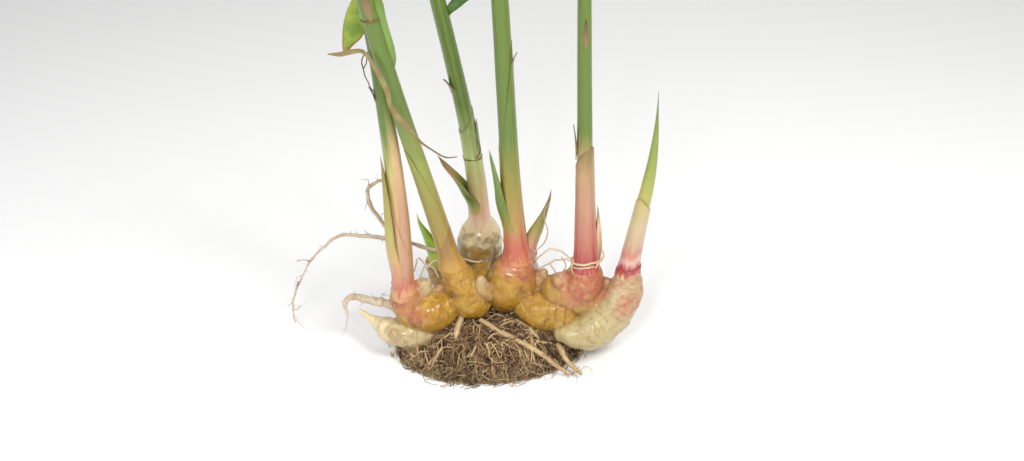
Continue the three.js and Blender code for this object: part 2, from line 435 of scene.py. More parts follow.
def root_skin(name, light, dark, shine=0.75, hair=0.6):
    """Root bark: each strand has its own shade between two colours, with rings across and fine dirt."""
    s = Sketch(name)
    where = s.place()
    grain = s.field("grain", 1)
    shade = s.field("shade")
    mottle = s.noise(where, 420, 4, 0.65)
    across = s.noise(grain, 1.3, 3, 0.6)
    base = s.mix(s.step(shade + (mottle - 0.5) * 0.5, 0.1, 0.95), dark, light)
    base = s.mix((1 - s.step(across, 0.3, 0.5)) * 0.45, base, colours().root_brown)
    return s.finish(base, shine, across + mottle * hair, 0.2, Subsurface_Weight=0.08,
                    Subsurface_Scale=0.0015)


# ---- The rhizome -------------------------------------------------------------------------------

# Each lobe: x, y, z and radius at points along its axis; how pale it is at its first and its last point;
# how blushed it is.
LOBES = {
    "left_neck": ([(-60, -6, 48, 6.6), (-58.5, -8, 38, 9.4), (-55, -8, 28, 10.5)], 0.35, 0.1, 0.15),
    "left_bulge": ([(-50, -9, 30, 11), (-43, -9, 29, 12.6), (-34, -6, 30, 9)], 0.0, 0.0, 0.0),
    "claw": (
        [(-42, -12, 15, 7), (-56, -13, 15, 9.3), (-67, -11.5, 16.5, 8.8), (-74, -8, 18, 5.6),
         (-79, -5, 20, 2.9), (-88, -1, 25.5, 0.6)],
        1.0, 1.7, 0.12,
    ),
    "inner_left_crown": (
        [(-19, -2, 31, 11.5), (-22, -2, 35, 13), (-26, -1, 45, 10), (-30, -1, 56, 6.5)], 0.0, 0.1, 0.0,
    ),
    "middle_crown": ([(2, 4, 31, 13), (4.5, 4, 38, 15.4), (7, 5, 48, 12), (9, 6, 58, 7)], 0.0, 0.25, 0.0),
    "back_crown": (
        [(-13, 31, 38, 12), (-14, 34, 45, 14), (-13, 35, 54, 12.2), (-13, 35, 63, 6.8)], 0.2, 2.8, 0.0
    ),
    "back_link": ([(-14, 28, 36, 9), (-8, 12, 34, 10)], 0.0, 0.0, 0.0),
    "back_left_lobe": ([(-40, 20, 43, 7.5), (-36, 14, 36, 8), (-26, 4, 32, 9)], 0.4, 0.0, 0.0),
    "right_bulge": ([(10, 0, 30, 9), (20, -9, 27, 11), (33, -12, 27, 12)], 0.0, 0.05, 0.0),
    "right_shoulder": ([(34, -6, 38, 11.5), (42, -7, 38, 14), (48, -8, 37, 13)], 0.15, 0.35, 0.0),
    "right_neck": ([(46, -8, 42, 13), (48, -10, 50, 11), (48.5, -10, 58, 7.4)], 0.3, 0.3, 0.25),
    "outer_finger": (
        [(34, -22, 19, 5.6), (46, -25, 19, 9.4), (58, -22, 25, 11.4), (67.5, -18, 36, 11.5),
         (72, -16, 47, 9.8), (73.2, -16, 58, 6.6)],
        0.85, 1.0, 0.0,
    ),
    "left_bud": ([(-52, -4, 39, 7.2), (-48, -5, 44, 5.6), (-45.5, -6, 48, 2.6)], 0.8, 1.0, 0.1),
    "claw_bud": ([(-65, -17, 18, 4.2), (-66.5, -20, 21.5, 2.2)], 0.9, 1.0, 0.35),
    "tiny_left_bud": ([(-39.5, -4, 40, 3.2), (-38.5, -5, 43, 2.2)], 0.8, 0.9, 0.6),
    "knob": ([(-11, -4, 37, 5.6), (-13, -6, 43, 5.0), (-13.5, -6.5, 48.5, 2.8)], 0.4, 0.9, 0.25),
    "right_bud": ([(18, 3, 39, 5.6), (22.5, 3, 43, 4.2), (24.5, 2, 47, 2)], 0.5, 0.9, 0.35),
    "right_lower_bud": ([(17, 0, 36, 4), (23, -1, 36, 2.4)], 0.5, 0.8, 0.1),
    "shoulder_knob": ([(34, -7, 41, 7.4), (35, -9, 47, 5.8), (35.5, -10, 52, 3)], 0.3, 0.9, 0.35),
    "outer_bud": ([(57, -10, 44, 4.4), (60.5, -11.5, 48, 2.8)], 0.6, 0.9, 0.3),
}
# Where pink spreads over the crowns: the middle of each patch, its reach and its strength.
BLUSHES = (
    ((-60, -17, 38), 10, 0.8), ((-52, -19, 33), 8, 0.9), ((40, -19, 44), 12, 0.75), ((54, -19, 48), 10, 1.0),
    ((74, -26, 42), 14, 0.9), ((66, -28, 33), 7, 0.35), ((82, -18, 40), 12, 1.0), ((-74, -15, 18), 5, 0.3),
)
# How far pink runs down a crown from the foot of its stalk, and how strong it is there.
FOOT_BLUSHES = {
    "stalk_left": (7, 0.7), "stalk_inner_left": (5, 0.15), "stalk_back": (4, 0.25), "stalk_middle": (8, 1.0),
    "stalk_right": (13, 1.0), "young_shoot_right": (7, 0.75),
}


def lobe_distance(points, axis, stations=9):
    """How far points are outside a lobe, and how far along its axis they lie. The lobe is a chain of
    round cones: each point drops a foot on every stretch, and its distance there less the stretch's
    radius at the foot counts where it is least. Past its two ends the axis runs straight on."""
    chain = smooth_path(axis, stations)
    along = lengths_along(chain[:, :3])
    best = np.full(len(points), np.inf)
    place = np.zeros(len(points))
    for k in range(stations - 1):
        start, stretch = chain[k, :3], chain[k + 1, :3] - chain[k, :3]
        free = (points - start) @ stretch / (stretch @ stretch)
        foot = np.clip(free, 0, 1)
        gap = np.linalg.norm(points - start - foot[:, None] * stretch, axis=1)
        gap -= chain[k, 3] + foot * (chain[k + 1, 3] - chain[k, 3])
        nearer = gap < best
        runs_on = free if k in (0, stations - 2) else foot
        best = np.where(nearer, gap, best)
        place = np.where(nearer, along[k] + runs_on * np.linalg.norm(stretch), place)
    return best, place


def rhizome_field(low, shape, step, blend):
    """Distance field of the joined lobes on a grid. Two fields a and b join as the smaller of them less
    h squared times blend over 4, where h is how much closer they are to each other than blend."""
    field = np.full(shape, 30.0)
    for axis, *_ in LOBES.values():
        chain = np.asarray(axis)
        reach = chain[:, 3].max() + 5
        first = np.maximum(((chain[:, :3].min(0) - reach - low) / step).astype(int), 0)
        last = np.minimum(((chain[:, :3].max(0) + reach - low) / step).astype(int), shape)
        spans = tuple(slice(a, b) for a, b in zip(first, last))
        grid = np.stack(np.meshgrid(*(np.arange(a, b) for a, b in zip(first, last)), indexing="ij"), -1)
        points = (grid * step + low).reshape(-1, 3)
        gap = lobe_distance(points, axis)[0] + 0.5 * ripple(points, 17, len(axis) + int(reach), 1)
        gap = gap.reshape(grid.shape[:3])
        h = np.maximum(blend - np.abs(field[spans] - gap), 0) / blend
        field[spans] = np.minimum(field[spans], gap) - h * h * blend / 4
    return field


def surface_of(field, low, step):
    """Surface nets: each grid cell that the surface passes through gets one point, the mean of where the
    surface cuts the cell's twelve edges, and each cut edge joins the four cells round it by a quad."""
    inside = field < 0
    corners = np.array([(i, j, k) for i in (0, 1) for j in (0, 1) for k in (0, 1)])
    trimmed = tuple(n - 1 for n in field.shape)
    count = sum(inside[i:i + trimmed[0], j:j + trimmed[1], k:k + trimmed[2]].astype(int) for i, j,
                k in corners)
    cells = np.argwhere((count > 0) & (count < 8))
    index = np.full(trimmed, -1)
    index[tuple(cells.T)] = np.arange(len(cells))
    values = field[tuple((cells[:, None] + corners).transpose(2, 0, 1))]
    total, cuts = np.zeros((len(cells), 3)), np.zeros(len(cells))
    for a in range(8):
        for b in range(a + 1, 8):
            if np.abs(corners[a] - corners[b]).sum() == 1:
                cut = (values[:, a] < 0) != (values[:, b] < 0)
                t = np.where(cut, values[:, a] / np.where(cut, values[:, a] - values[:, b], 1), 0)
                total += np.where(cut[:, None], corners[a] + t[:, None] * (corners[b] - corners[a]), 0)
                cuts += cut
    points = (cells + total / cuts[:, None]) * step + low
    quads = []
    for axis in range(3):
        ahead = np.roll(np.eye(3, dtype=int), -axis, axis=0)
        edges = np.argwhere(np.diff(inside, axis=axis))
        around = [edges - s * ahead[1] - t * ahead[2] for s, t in ((0, 0), (1, 0), (1, 1), (0, 1))]
        loop = np.stack([index[tuple(cell.T)] for cell in around], -1)
        leaving = inside[tuple(edges.T)]
        quads.append(np.where(leaving[:, None], loop, loop[:, ::-1]))
    return points, np.concatenate(quads)


def vertex_normals(points, quads):
    """Sum of the face normals round each vertex, made one long."""
    across = np.cross(points[quads[:, 2]] - points[quads[:, 0]], points[quads[:, 3]] - points[quads[:, 1]])
    total = np.zeros_like(points)
    for k in range(4):
        for axis in range(3):
            total[:, axis] += np.bincount(quads[:, k], across[:, axis], len(points))
    return unit(total)


def rhizome():
    """The rhizome: joined lobes, then leaf scars, lumps, wrinkles and root pits pushed along its normals."""
    size = sizes()
    low = np.array(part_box("rhizome")[0]) / MM - FIELD_MARGIN
    high = np.array(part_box("rhizome")[1]) / MM + FIELD_MARGIN
    shape = tuple(np.ceil((high - low) / size.skin_step).astype(int))
    field = rhizome_field(low, shape, size.skin_step, size.crease_blend)
    points, quads = surface_of(field, low, size.skin_step)
    normals = vertex_normals(points, quads)
    measured = [lobe_distance(points, axis) for axis, *_ in LOBES.values()]
    gaps = np.stack([gap for gap, _ in measured])
    places = np.stack([place for _, place in measured])
    order = np.argsort(gaps, axis=0)
    nearest = order[0]
    every = np.arange(len(points))
    place = places[nearest, every]
    apart = gaps[order[1], every] - gaps[nearest, every]
    weights = np.exp(-(gaps - gaps[nearest, every]) / 1.0)
    weights /= weights.sum(0)
    reaches = np.array([lengths_along(smooth_path(axis, 9)[:, :3])[-1] for axis, *_ in LOBES.values()])
    first, last, flush = np.array([entry[1:] for entry in LOBES.values()]).T[..., None]
    shares = np.clip(places / reaches[:, None] + 0.25 * ripple(points, 8, 4), 0, 1)
    pale = ((first + (last - first) * smoothstep(shares, 0.1, 1)) * weights).sum(0)
    pink = (flush * weights).sum(0)
    for middle, reach, strength in BLUSHES:
        near = 1 - np.linalg.norm(points - middle, axis=1) / reach
        pink = np.maximum(pink, strength * smoothstep(near + 0.18 * ripple(points, 6, reach), 0, 0.75))
    for node, (reach, strength) in FOOT_BLUSHES.items():
        stem = Stem(node)
        spine, radius = stem.at(points[:, 2])
        away = np.linalg.norm(points - spine, axis=1) - radius
        near = np.hypot(away, np.maximum(stem.low - 10 - points[:, 2], 0)) / reach
        near += 0.3 * ripple(points, 5, reach)
        pink = np.maximum(pink, strength * (1 - smoothstep(near, 0.05, 1)))
    # Where two lobes meet: the skin dips there, and the skin shader paints shade there in bark colour.
    crease = 1 - smoothstep(apart + 0.4 * ripple(points, 5, 3), 0.1, 1.6)
    crease *= 1 - 0.35 * pale
    phase = place + 0.9 * ripple(points, 16, 5) + 0.25 * ripple(points, 4, 9)
    phase = phase / size.ring_gap + nearest * 0.37
    turn = phase % 1
    ringed = smoothstep(ripple(points, 19, 11) + 0.6, -0.2, 0.5) * (1 - crease)
    step_up = turn * (1 - smoothstep(turn, 0.9, 1.0))
    line = np.exp(-(((turn - 0.95 + 0.5) % 1 - 0.5) / 0.075) ** 2) * ringed
    line *= smoothstep(ripple(points, 9, 21) + 0.5, 0, 0.6)
    rng = np.random.default_rng(SEED)
    pits = points[rng.integers(0, len(points), ROOT_PITS)]
    near_pit = np.min([np.linalg.norm(points - pit, axis=1) / rng.uniform(0.7, 1.3) for pit in pits], axis=0)
    speck = (1 - smoothstep(near_pit, 0.25, 0.75)) * (1 - 0.5 * pale)
    push = size.ring_height * (step_up - 0.5) * ringed
    push += 0.35 * ripple(points, 17, 31) + 0.05 * ripple(points, 5, 33)
    push -= 0.06 * np.abs(ripple(points, 3, 35)) + 0.35 * crease
    push += 0.35 * np.exp(-((near_pit - 1) ** 2) * 6) - 0.5 * speck
    points = points + normals * push[:, None]
    fields = {"pale": pale, "pink": np.clip(pink, 0, 1), "line": line, "crease": crease, "speck": speck}
    none = np.zeros((0, 3), int)
    make_mesh("ginger_rhizome", points, quads, none, fields, rhizome_skin(), ["rhizome"])


# ---- Stalks ------------------------------------------------------------------------------------


FRONT = np.array([0.0, -1.0, 0.0])
FOOT_FLARE = 2.0  # how much wider a stalk is at its very foot
FLARE_HEIGHT = 5.0  # how far up that widening reaches
FOOT_SHARE = 0.08  # the share of a stem that gives its direction below its foot
FEET = {
    "stalk_left": 46, "stalk_inner_left": 56, "stalk_back": 60, "stalk_middle": 56, "stalk_right": 55,
    "young_shoot_right": 56,
}


class Stem:
    """A stem's spine and radius as functions of height, from its frame node: polynomials of height
    fitted by least squares to the node's x, to its y, and to its points' distance from that spine.
    The foot is the height where it leaves its crown, below which it runs straight on."""

    def __init__(self, node, bends=3, bulges=3):
        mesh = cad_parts[node].data
        points = np.empty(len(mesh.vertices) * 3, np.float32)
        mesh.vertices.foreach_get("co", points)
        points = np.unique(points.reshape(-1, 3).round(6), axis=0) / MM
        self.low, self.high = FEET.get(node, points[:, 2].min()), points[:, 2].max()
        self.broad = FOOT_FLARE if node.startswith("stalk") else 0.0
        points = points[points[:, 2] > self.low - 1]
        scaled = self.scaled(points[:, 2])
        self.x = np.polyfit(scaled, points[:, 0], bends)
        self.y = np.polyfit(scaled, points[:, 1], bends)
        away = np.hypot(points[:, 0] - np.polyval(self.x, scaled), points[:, 1] - np.polyval(self.y, scaled))
        rim = away > 0.5 * np.median(away) * (1.1 - scaled)
        self.r = np.polyfit(scaled[rim], away[rim], bulges)

    def scaled(self, height):
        """Height as a share of the way from the foot to the top."""
        return (height - self.low) / (self.high - self.low)

    def at(self, height):
        """Spine points and radii at the heights. A stalk widens down to its foot and narrows below it."""
        t = self.scaled(height)
        within = np.clip(t, 0, 1)
        below = np.minimum(t, 0)
        spine = []
        for shape in (self.x, self.y):
            slope = (np.polyval(shape, FOOT_SHARE) - np.polyval(shape, 0)) / FOOT_SHARE
            spine.append(np.polyval(shape, within) + below * slope)
        flare = self.broad * np.exp(-np.maximum(t, 0) * (self.high - self.low) / FLARE_HEIGHT)
        sunk = 0.5 * self.broad * (1 - np.exp(below * (self.high - self.low) / FLARE_HEIGHT))
        return np.stack([*spine, height], -1), np.maximum(np.polyval(self.r, within), 0.12) + flare - sunk


def rings_round(path, radii, angles):
    """Rings square to the path: radii by station and side, angles from the right and over the front."""
    ahead, right = frames(path, FRONT)
    turned = np.cos(angles)[..., None] * right[:, None] + np.sin(angles)[..., None] * ahead[:, None]
    return path[:, None] + radii[..., None] * turned


def stem_fields(path, radii, angles, rise, edge=0.0, cut=0.0):
    """Attributes of a stem: height share, side, and a grain that is short round it and long up it."""
    along = lengths_along(path)[:, None] + 0 * angles
    grain = np.stack([np.cos(angles) * radii, np.sin(angles) * radii, along * 0.05], -1)
    return {
        "rise": (rise[:, None] + 0 * angles)[None],
        "side": np.cos(angles)[None],
        "edge": (edge + 0 * angles)[None],
        "cut": (cut + 0 * angles)[None],
        "grain": grain[None],
    }


def stalk(node, material, foot=9.0, lean=0.0):
    """A leaf stalk: its stem's circle, a little oval and ribbed, that ends in a cut with nested sheaths.
    The cut is rings drawn in to the middle, which dip between one sheath's edge and the next."""
    stem = Stem(node)
    sides = sizes().stem_sides
    heights = np.linspace(stem.low - foot, stem.high, 150)
    path, radius = stem.at(heights)
    angles = np.broadcast_to(np.linspace(0, 2 * math.pi, sides, endpoint=False), (150, sides))
    spread = 1 + 0.05 * np.cos(2 * (angles - lean)) + 0.012 * np.sin(7 * angles + heights[:, None] * 0.02)
    radii = radius[:, None] * spread
    radii = radii + 0.12 * ripple(np.stack([np.cos(angles) * 5, np.sin(angles) * 5, heights[:, None] * 0.12
                                            + 0 * angles], -1), 9, len(node))
    shares = np.array([0.93, 0.86, 0.8, 0.66, 0.6, 0.45, 0.38, 0.2])
    dips = np.array([0.1, -0.9, 0.1, -0.7, 0.1, -0.6, 0.0, -0.4])
    rings = rings_round(path, radii, angles)
    middle = rings[-1].mean(0)
    inner = middle + (rings[-1] - middle) * shares[:, None, None]
    inner[..., 2] += dips[:, None]
    rings = np.concatenate([rings, inner])
    fields = stem_fields(path, radii, angles, stem.scaled(heights))
    for key, values in fields.items():
        tail = np.repeat(values[:, -1:], len(shares), axis=1)
        fields[key] = np.concatenate([values, tail if key != "cut" else tail + 1], axis=1)
    return ring_mesh(node.replace("stalk", "leaf_stalk"), rings[None], fields, material,
                     [node])


def stalks():
    """The five leaf stalks, each with its own run of colours from foot to cut."""
    c = colours()
    pale_green = srgb(178, 190, 118)
    runs = {
        "stalk_left": (
            [(0.0, srgb(204, 150, 104)), (0.03, c.blush), (0.08, c.rose), (0.3, c.rose),
             (0.46, srgb(204, 166, 120)), (0.62, c.leaf), (1.0, c.leaf)],
            [(0.0, srgb(204, 150, 104)), (0.02, c.blush), (0.05, c.crimson), (0.09, c.rose),
             (0.28, srgb(206, 164, 116)), (0.42, srgb(188, 180, 104)), (0.55, c.leaf), (1.0, c.deep)],
        ),
        "stalk_inner_left": (
            [(0.0, srgb(190, 146, 62)), (0.06, srgb(168, 130, 58)), (0.2, srgb(150, 134, 52)),
             (0.4, srgb(138, 146, 60)), (0.6, c.leaf), (1.0, c.leaf)], None),
        "stalk_back": (
            [(0.0, c.ivory), (0.07, srgb(224, 178, 150)), (0.16, srgb(196, 178, 120)), (0.28, pale_green),
             (0.5, c.leaf), (1.0, c.leaf)], None),
        "stalk_middle": (
            [(0.0, srgb(202, 132, 88)), (0.03, srgb(190, 92, 74)), (0.06, srgb(190, 96, 76)),
             (0.13, srgb(178, 134, 76)), (0.26, c.olive), (0.45, c.leaf), (1.0, c.leaf)], None),
        "stalk_right": (
            [(0.0, srgb(192, 110, 88)), (0.03, c.crimson), (0.1, c.blush), (0.22, srgb(200, 138, 118)),
             (0.36, srgb(196, 154, 116)), (0.43, srgb(156, 138, 74)), (0.49, c.leaf), (1.0, c.leaf)], None),
    }
    for node, (stops, left_stops) in runs.items():
        stalk(node, stem_skin(node + "_skin", stops, left_stops), lean=len(node))


# ---- Sheaths and shoots ------------------------------------------------------------------------


def cuff(name, stem, low, high, material, slant=0.0, facing=0.0, lift=0.35, flare=0.0, ragged=0.3,
         wall=0.5):
    """A sheath rolled round a stem: a surface of height and angle whose upper edge rises by slant towards
    facing, as a cosine does, and wavers by ragged. Past the edge it turns in by wall and dips inside."""
    sides = sizes().stem_sides
    angles = np.linspace(0, 2 * math.pi, sides, endpoint=False)
    around = np.stack([np.cos(angles), np.sin(angles), 0 * angles], -1)
    top = high + slant * np.cos(angles - facing) + ragged * ripple(around * 3, 2.2, int(high), 3)
    share = np.concatenate([np.linspace(0, 1, 40), [1.0, 1.0, 0.98]])[:, None]
    inset = np.concatenate([np.zeros(40), [0.4, 1.0, 1.3]])[:, None] * wall
    height = low + share * (top - low)
    spine, radius = stem.at(height)
    out = radius + lift * smoothstep(share, -0.3, 0.4) + flare * share**2 - inset
    out = out + 0.05 * ripple(np.stack([6 * np.cos(angles) + 0 * share, 6 * np.sin(angles) + 0 * share,
                                        height * 0.2], -1), 3, 5)
    rings = spine + out[..., None] * np.stack([np.cos(angles), -np.sin(angles), 0 * angles], -1)
    angle_grid = np.broadcast_to(angles, out.shape)
    grain = np.stack([np.cos(angle_grid) * out, np.sin(angle_grid) * out, height * 0.05], -1)
    fields = {
        "rise": stem.scaled(height)[None], "side": np.cos(angle_grid)[None], "grain": grain[None],
        "edge": (smoothstep(share, 1 - 0.8 / (top - low).mean(), 1.0) + 0 * out)[None], "cut": 0 * out[None],
    }
    return ring_mesh(name, rings[None], fields, material)


def sheath(name, path, radii, facing, half, material, stands_for=(), wall=0.55, sides=25):
    """A sheath open along one side: each station is an arc of its radius that reaches half an angle each
    way from facing, with a wall that thins to nothing at both edges, as the root of 1 less u squared."""
    u = np.linspace(-1, 1, sides)
    across = np.concatenate([u, u[::-1]])
    outside = np.repeat([1.0, 0.0], sides)
    thickness = wall * np.sqrt(1 - 0.97 * across**2) * (outside - 0.4)
    angles = facing + half[:, None] * across
    reach = radii[:, None] + thickness * np.minimum(1, radii / 1.5)[:, None]
    rings = rings_round(path, reach, angles)
    fields = stem_fields(path, reach, angles, np.linspace(0, 1, len(path)),
                         smoothstep(np.abs(across), 0.8, 1.0))
    return ring_mesh(name, rings[None], fields, material, stands_for)


def young_shoot():
    """The pale young shoot: a tapering spear in a cream outer sheath with a slanted mouth, whose glossy
    crimson collar and the ring below it mark where it leaves the finger."""
    c = colours()
    stem = Stem("young_shoot_right", 4, 4)
    spear = [(0.0, c.crimson), (0.1, c.rose), (0.36, srgb(196, 180, 126)), (0.46, srgb(172, 166, 78)),
             (0.6, srgb(142, 152, 60)), (0.8, srgb(118, 138, 54)), (1.0, srgb(84, 104, 42))]
    skin = stem_skin("young_spear_skin", spear, streak=0.2, brown=0.08)
    stations, sides = 130, 40
    heights = np.linspace(stem.low - 8, stem.high - 0.5, stations)
    path, radius = stem.at(heights)
    path += 0.35 * np.stack([np.sin(heights / 17), np.cos(heights / 21), 0 * heights], -1)
    angles = np.broadcast_to(np.linspace(0, 2 * math.pi, sides, endpoint=False), (stations, sides))
    radii = np.maximum(radius - 0.35, 0.15)[:, None] * (1 + 0.05 * np.cos(2 * angles))
    fields = stem_fields(path, radii, angles, stem.scaled(heights))
    ring_mesh("young_spear", rings_round(path, radii, angles)[None], fields, skin,
              ["young_shoot_right"])
    outer = [(0.0, c.cream), (0.015, c.blush), (0.035, c.crimson), (0.06, c.crimson),
             (0.1, srgb(214, 176, 160)), (0.14, srgb(196, 122, 108)),
             (0.2, srgb(192, 162, 130)), (0.3, srgb(196, 174, 136)), (0.45, srgb(184, 168, 100))]
    outer_skin = stem_skin("young_outer_skin", outer, streak=0.12, brown=0.06)
    low = stem.low
    cuff("young_outer_sheath", stem, low - 7, low + 50, outer_skin,
         5.5, 2.4, 0.45, 0, 0.3, 0.7)
    cuff("young_collar", stem, low - 8, low + 5, outer_skin, 2.0, 0.6, 0.9, 0, 0.5, 0.9)


def free_sheaths():
    """Side shoots and loose sheaths: arcs round their own frame node's spine, open to their stalk. Those
    with a host start on its surface and swing out to their own spine."""
    c = colours()
    dry_tip = srgb(150, 120, 76)
    kinds = {
        "left_outer_sheath": (180, 150, 75, [(0, c.crimson), (0.14, srgb(196, 130, 104)),
                                             (0.3, srgb(196, 158, 104)), (0.5, srgb(170, 162, 84)),
                                             (0.85, c.olive), (1, dry_tip)], "stalk_green"),
        "middle_side_sheath": (170, 150, 80, [(0, srgb(180, 128, 78)), (0.14, c.olive), (0.36, c.leaf),
                                              (0.8, srgb(104, 132, 56)), (1, srgb(90, 104, 44))],
                               "stalk_green"),
        "back_side_sheath": (190, 150, 70, [(0, srgb(206, 172, 134)), (0.16, srgb(176, 172, 104)),
                                            (0.36, c.leaf), (0.55, srgb(140, 150, 84)),
                                            (0.7, c.tan), (1, c.husk)], "stalk_green"),
        "leaf_sheath": (20, 120, 120, [(0, c.leaf), (0.5, srgb(118, 150, 64)), (1, c.leaf)], "stalk_green"),
        "green_shoot": (170, 160, 60, [(0, srgb(190, 190, 90)), (0.35, srgb(152, 190, 60)),
                                       (0.85, srgb(140, 180, 54)), (1, srgb(186, 190, 110))], "stalk_green"),
        "right_side_shoot": (0, 160, 70, [(0, c.crimson), (0.12, c.blush), (0.35, c.rose),
                                          (0.75, srgb(224, 188, 148)), (1, dry_tip)], "shoot_pale"),
        "leafy_shoot": (20, 165, 60, [(0, c.ivory), (0.3, srgb(226, 160, 140)), (0.45, srgb(190, 152, 110)),
                                      (0.6, srgb(150, 150, 74)), (0.85, srgb(150, 128, 76)), (1, c.husk)],
                        "shoot_pale"),
    }
    hosts = {"left_outer_sheath": "stalk_left", "middle_side_sheath": "stalk_middle",
             "back_side_sheath": "stalk_back", "right_side_shoot": "stalk_right"}
    low_ends = {"left_outer_sheath": 42}
    stations = 90
    for node, (facing, foot_half, tip_half, stops, slot) in kinds.items():
        stem = Stem(node, 3, 4)
        heights = np.linspace(min(stem.low - 5, low_ends.get(node, stem.low)), stem.high, stations)
        path, radius = stem.at(heights)
        t = np.linspace(0, 1, stations)
        half = np.radians(foot_half + (tip_half - foot_half) * t)
        wide = 1.45 if node == "leafy_shoot" else 1.0
        if node in hosts:
            centre, host_radius = Stem(hosts[node]).at(heights)
            hold = 1 - smoothstep(t, 0.02, 0.45)
            path += (centre - path) * hold[:, None]
            radius += (host_radius + 0.3 - radius) * hold - 1.2 * (1 - smoothstep(t, 0, 0.1))
        pointed = np.minimum(radius * wide, (1 - t) * 12 + 0.12)
        skin = stem_skin(node + "_skin", stops, streak=0.3, brown=0.3)
        sheath("loose_" + node, path, pointed, math.radians(facing), half, skin, [node])
    inner = [(0, srgb(230, 200, 170)), (0.4, srgb(222, 150, 132)), (0.7, srgb(170, 150, 90)), (1, c.husk)]
    inner_skin = stem_skin("leafy_inner_skin", inner, streak=0.2, brown=0.2)
    stem = Stem("leafy_shoot", 3, 4)
    cuff("leafy_shoot_cup", stem, stem.low - 5, stem.low + 14, inner_skin,
         5, 2.9, 1.6, 1.2, 1.2, 0.8)


def sheath_mouths():
    """Sheaths that end on the stalks, scale leaves round their feet, and the ragged rim of the back crown.
    Each has its stalk, its mouth's share of the stalk's height, slant, facing in degrees, lift, flare,
    raggedness, and colours where they differ from the stalk's."""
    c = colours()
    beige = [(0, srgb(192, 110, 88)), (0.03, c.crimson), (0.1, srgb(182, 98, 84)),
             (0.24, srgb(186, 134, 110)), (0.34, srgb(178, 140, 98)),
             (0.42, srgb(132, 112, 58))]
    peel = [(0, srgb(192, 146, 60)), (0.08, srgb(156, 116, 52)), (0.2, srgb(128, 96, 50))]
    rim = [(0, srgb(226, 208, 164)), (0.1, srgb(214, 170, 140))]
    mouths = {
        "right_beige_mouth": ("stalk_right", 0.4, 8, 50, 0.45, 0.0, 0.4, beige),
        "right_foot_scale": ("stalk_right", 0.03, 4, 70, 0.35, 0.1, 0.9, None),
        "middle_seam_mouth": ("stalk_middle", 0.56, 34, -10, 0.35, 0.0, 0.3, None),
        "middle_foot_scale": ("stalk_middle", 0.02, 2.5, 200, 0.3, 0.1, 0.8, None),
        "back_green_mouth": ("stalk_back", 0.43, 8, -20, 0.45, 0.0, 0.3, None),
        "back_rim": ("stalk_back", -0.008, 1.2, 200, 0.6, 1.4, 1.2, rim),
        "inner_left_peel": ("stalk_inner_left", 0.1, 11, 5, 0.3, 0.1, 1.6, peel),
        "inner_left_sheath": ("stalk_inner_left", 0.3, 30, 150, 0.35, 0.0, 0.6, None),
        "left_foot_scale": ("stalk_left", 0.03, 7, 120, 0.35, 0.1, 0.8, None),
        "left_long_sheath": ("stalk_left", 0.26, 26, 200, 0.4, 0.0, 0.5, None),
    }
    for name, (node, mouth, slant, facing, lift, flare, ragged, stops) in mouths.items():
        stem = Stem(node)
        tall = stem.high - stem.low
        skin = stem_skin(name + "_skin", stops, brown=0.3) if stops else bpy.data.materials[node + "_skin"]
        cuff(name, stem, stem.low - 9, stem.low + mouth * tall, skin, slant,
             math.radians(facing), lift, flare, ragged)


def bracts():
    """Small dried scales on the stalks. Each hugs its stalk, narrows as the root of what is left of its
    length, and lifts off by its tip's lift. Given: stalk, height, facing in degrees, length, lift, width
    in degrees and skin."""
    c = colours()
    dry = stem_skin("bract_skin", [(0, srgb(138, 124, 60)), (0.5, c.husk), (1, srgb(70, 48, 34))],
                    streak=0.1)
    fresh = stem_skin("fresh_bract_skin", [(0, srgb(126, 148, 66)), (0.8, c.leaf), (1, c.olive)])
    scales = (
        ("stalk_right", 132, 178, 22, 1.4, 40, dry), ("stalk_right", 200, 85, 18, 0.1, 26, dry),
        ("stalk_middle", 186, 12, 9, 2.6, 34, dry), ("stalk_back", 158, 160, 10, 2.8, 50, dry),
        ("stalk_left", 172, 180, 9, 2.2, 26, dry), ("stalk_inner_left", 225, 80, 26, 0.2, 34, dry),
        ("stalk_back", 108, 14, 30, 1.2, 46, fresh),
    )
    t = np.linspace(0, 1, 40)
    for number, (node, low, facing, tall, lift, width, skin) in enumerate(scales):
        path, radius = Stem(node).at(low + tall * t)
        sheath("bract_%d" % number, path, radius + 0.2 + lift * t**2, math.radians(facing),
               np.radians(width) * np.sqrt(1 - 0.99 * t) * smoothstep(t, 0, 0.35), skin)


# ---- Leaves ------------------------------------------------------------------------------------


def leaf_skin(name, young, old, dry):
    """Leaf blade: veins along it, and a dry edge and tip where the attribute edge says."""
    s = Sketch(name)
    grain = s.field("grain", 1)
    rise, edge = s.field("rise"), s.field("edge")
    veins = s.noise(grain, 2.2, 4, 0.7)
    cloud = s.noise(s.place(), 150, 3)
    base = s.mix(s.step(cloud, 0.35, 0.7), old, young)
    base = s.mix(s.step(veins, 0.55, 0.75) * 0.35, base, colours().bright)
    worn = s.step(edge + rise * rise * 0.9 + (cloud - 0.5) * 0.8, 0.55, 0.95)
    base = s.mix(worn, base, dry)
    return s.finish(base, 0.42 + veins * 0.2, veins + cloud * 0.4, 0.18, Subsurface_Weight=0.15,
                    Subsurface_Scale=0.001)


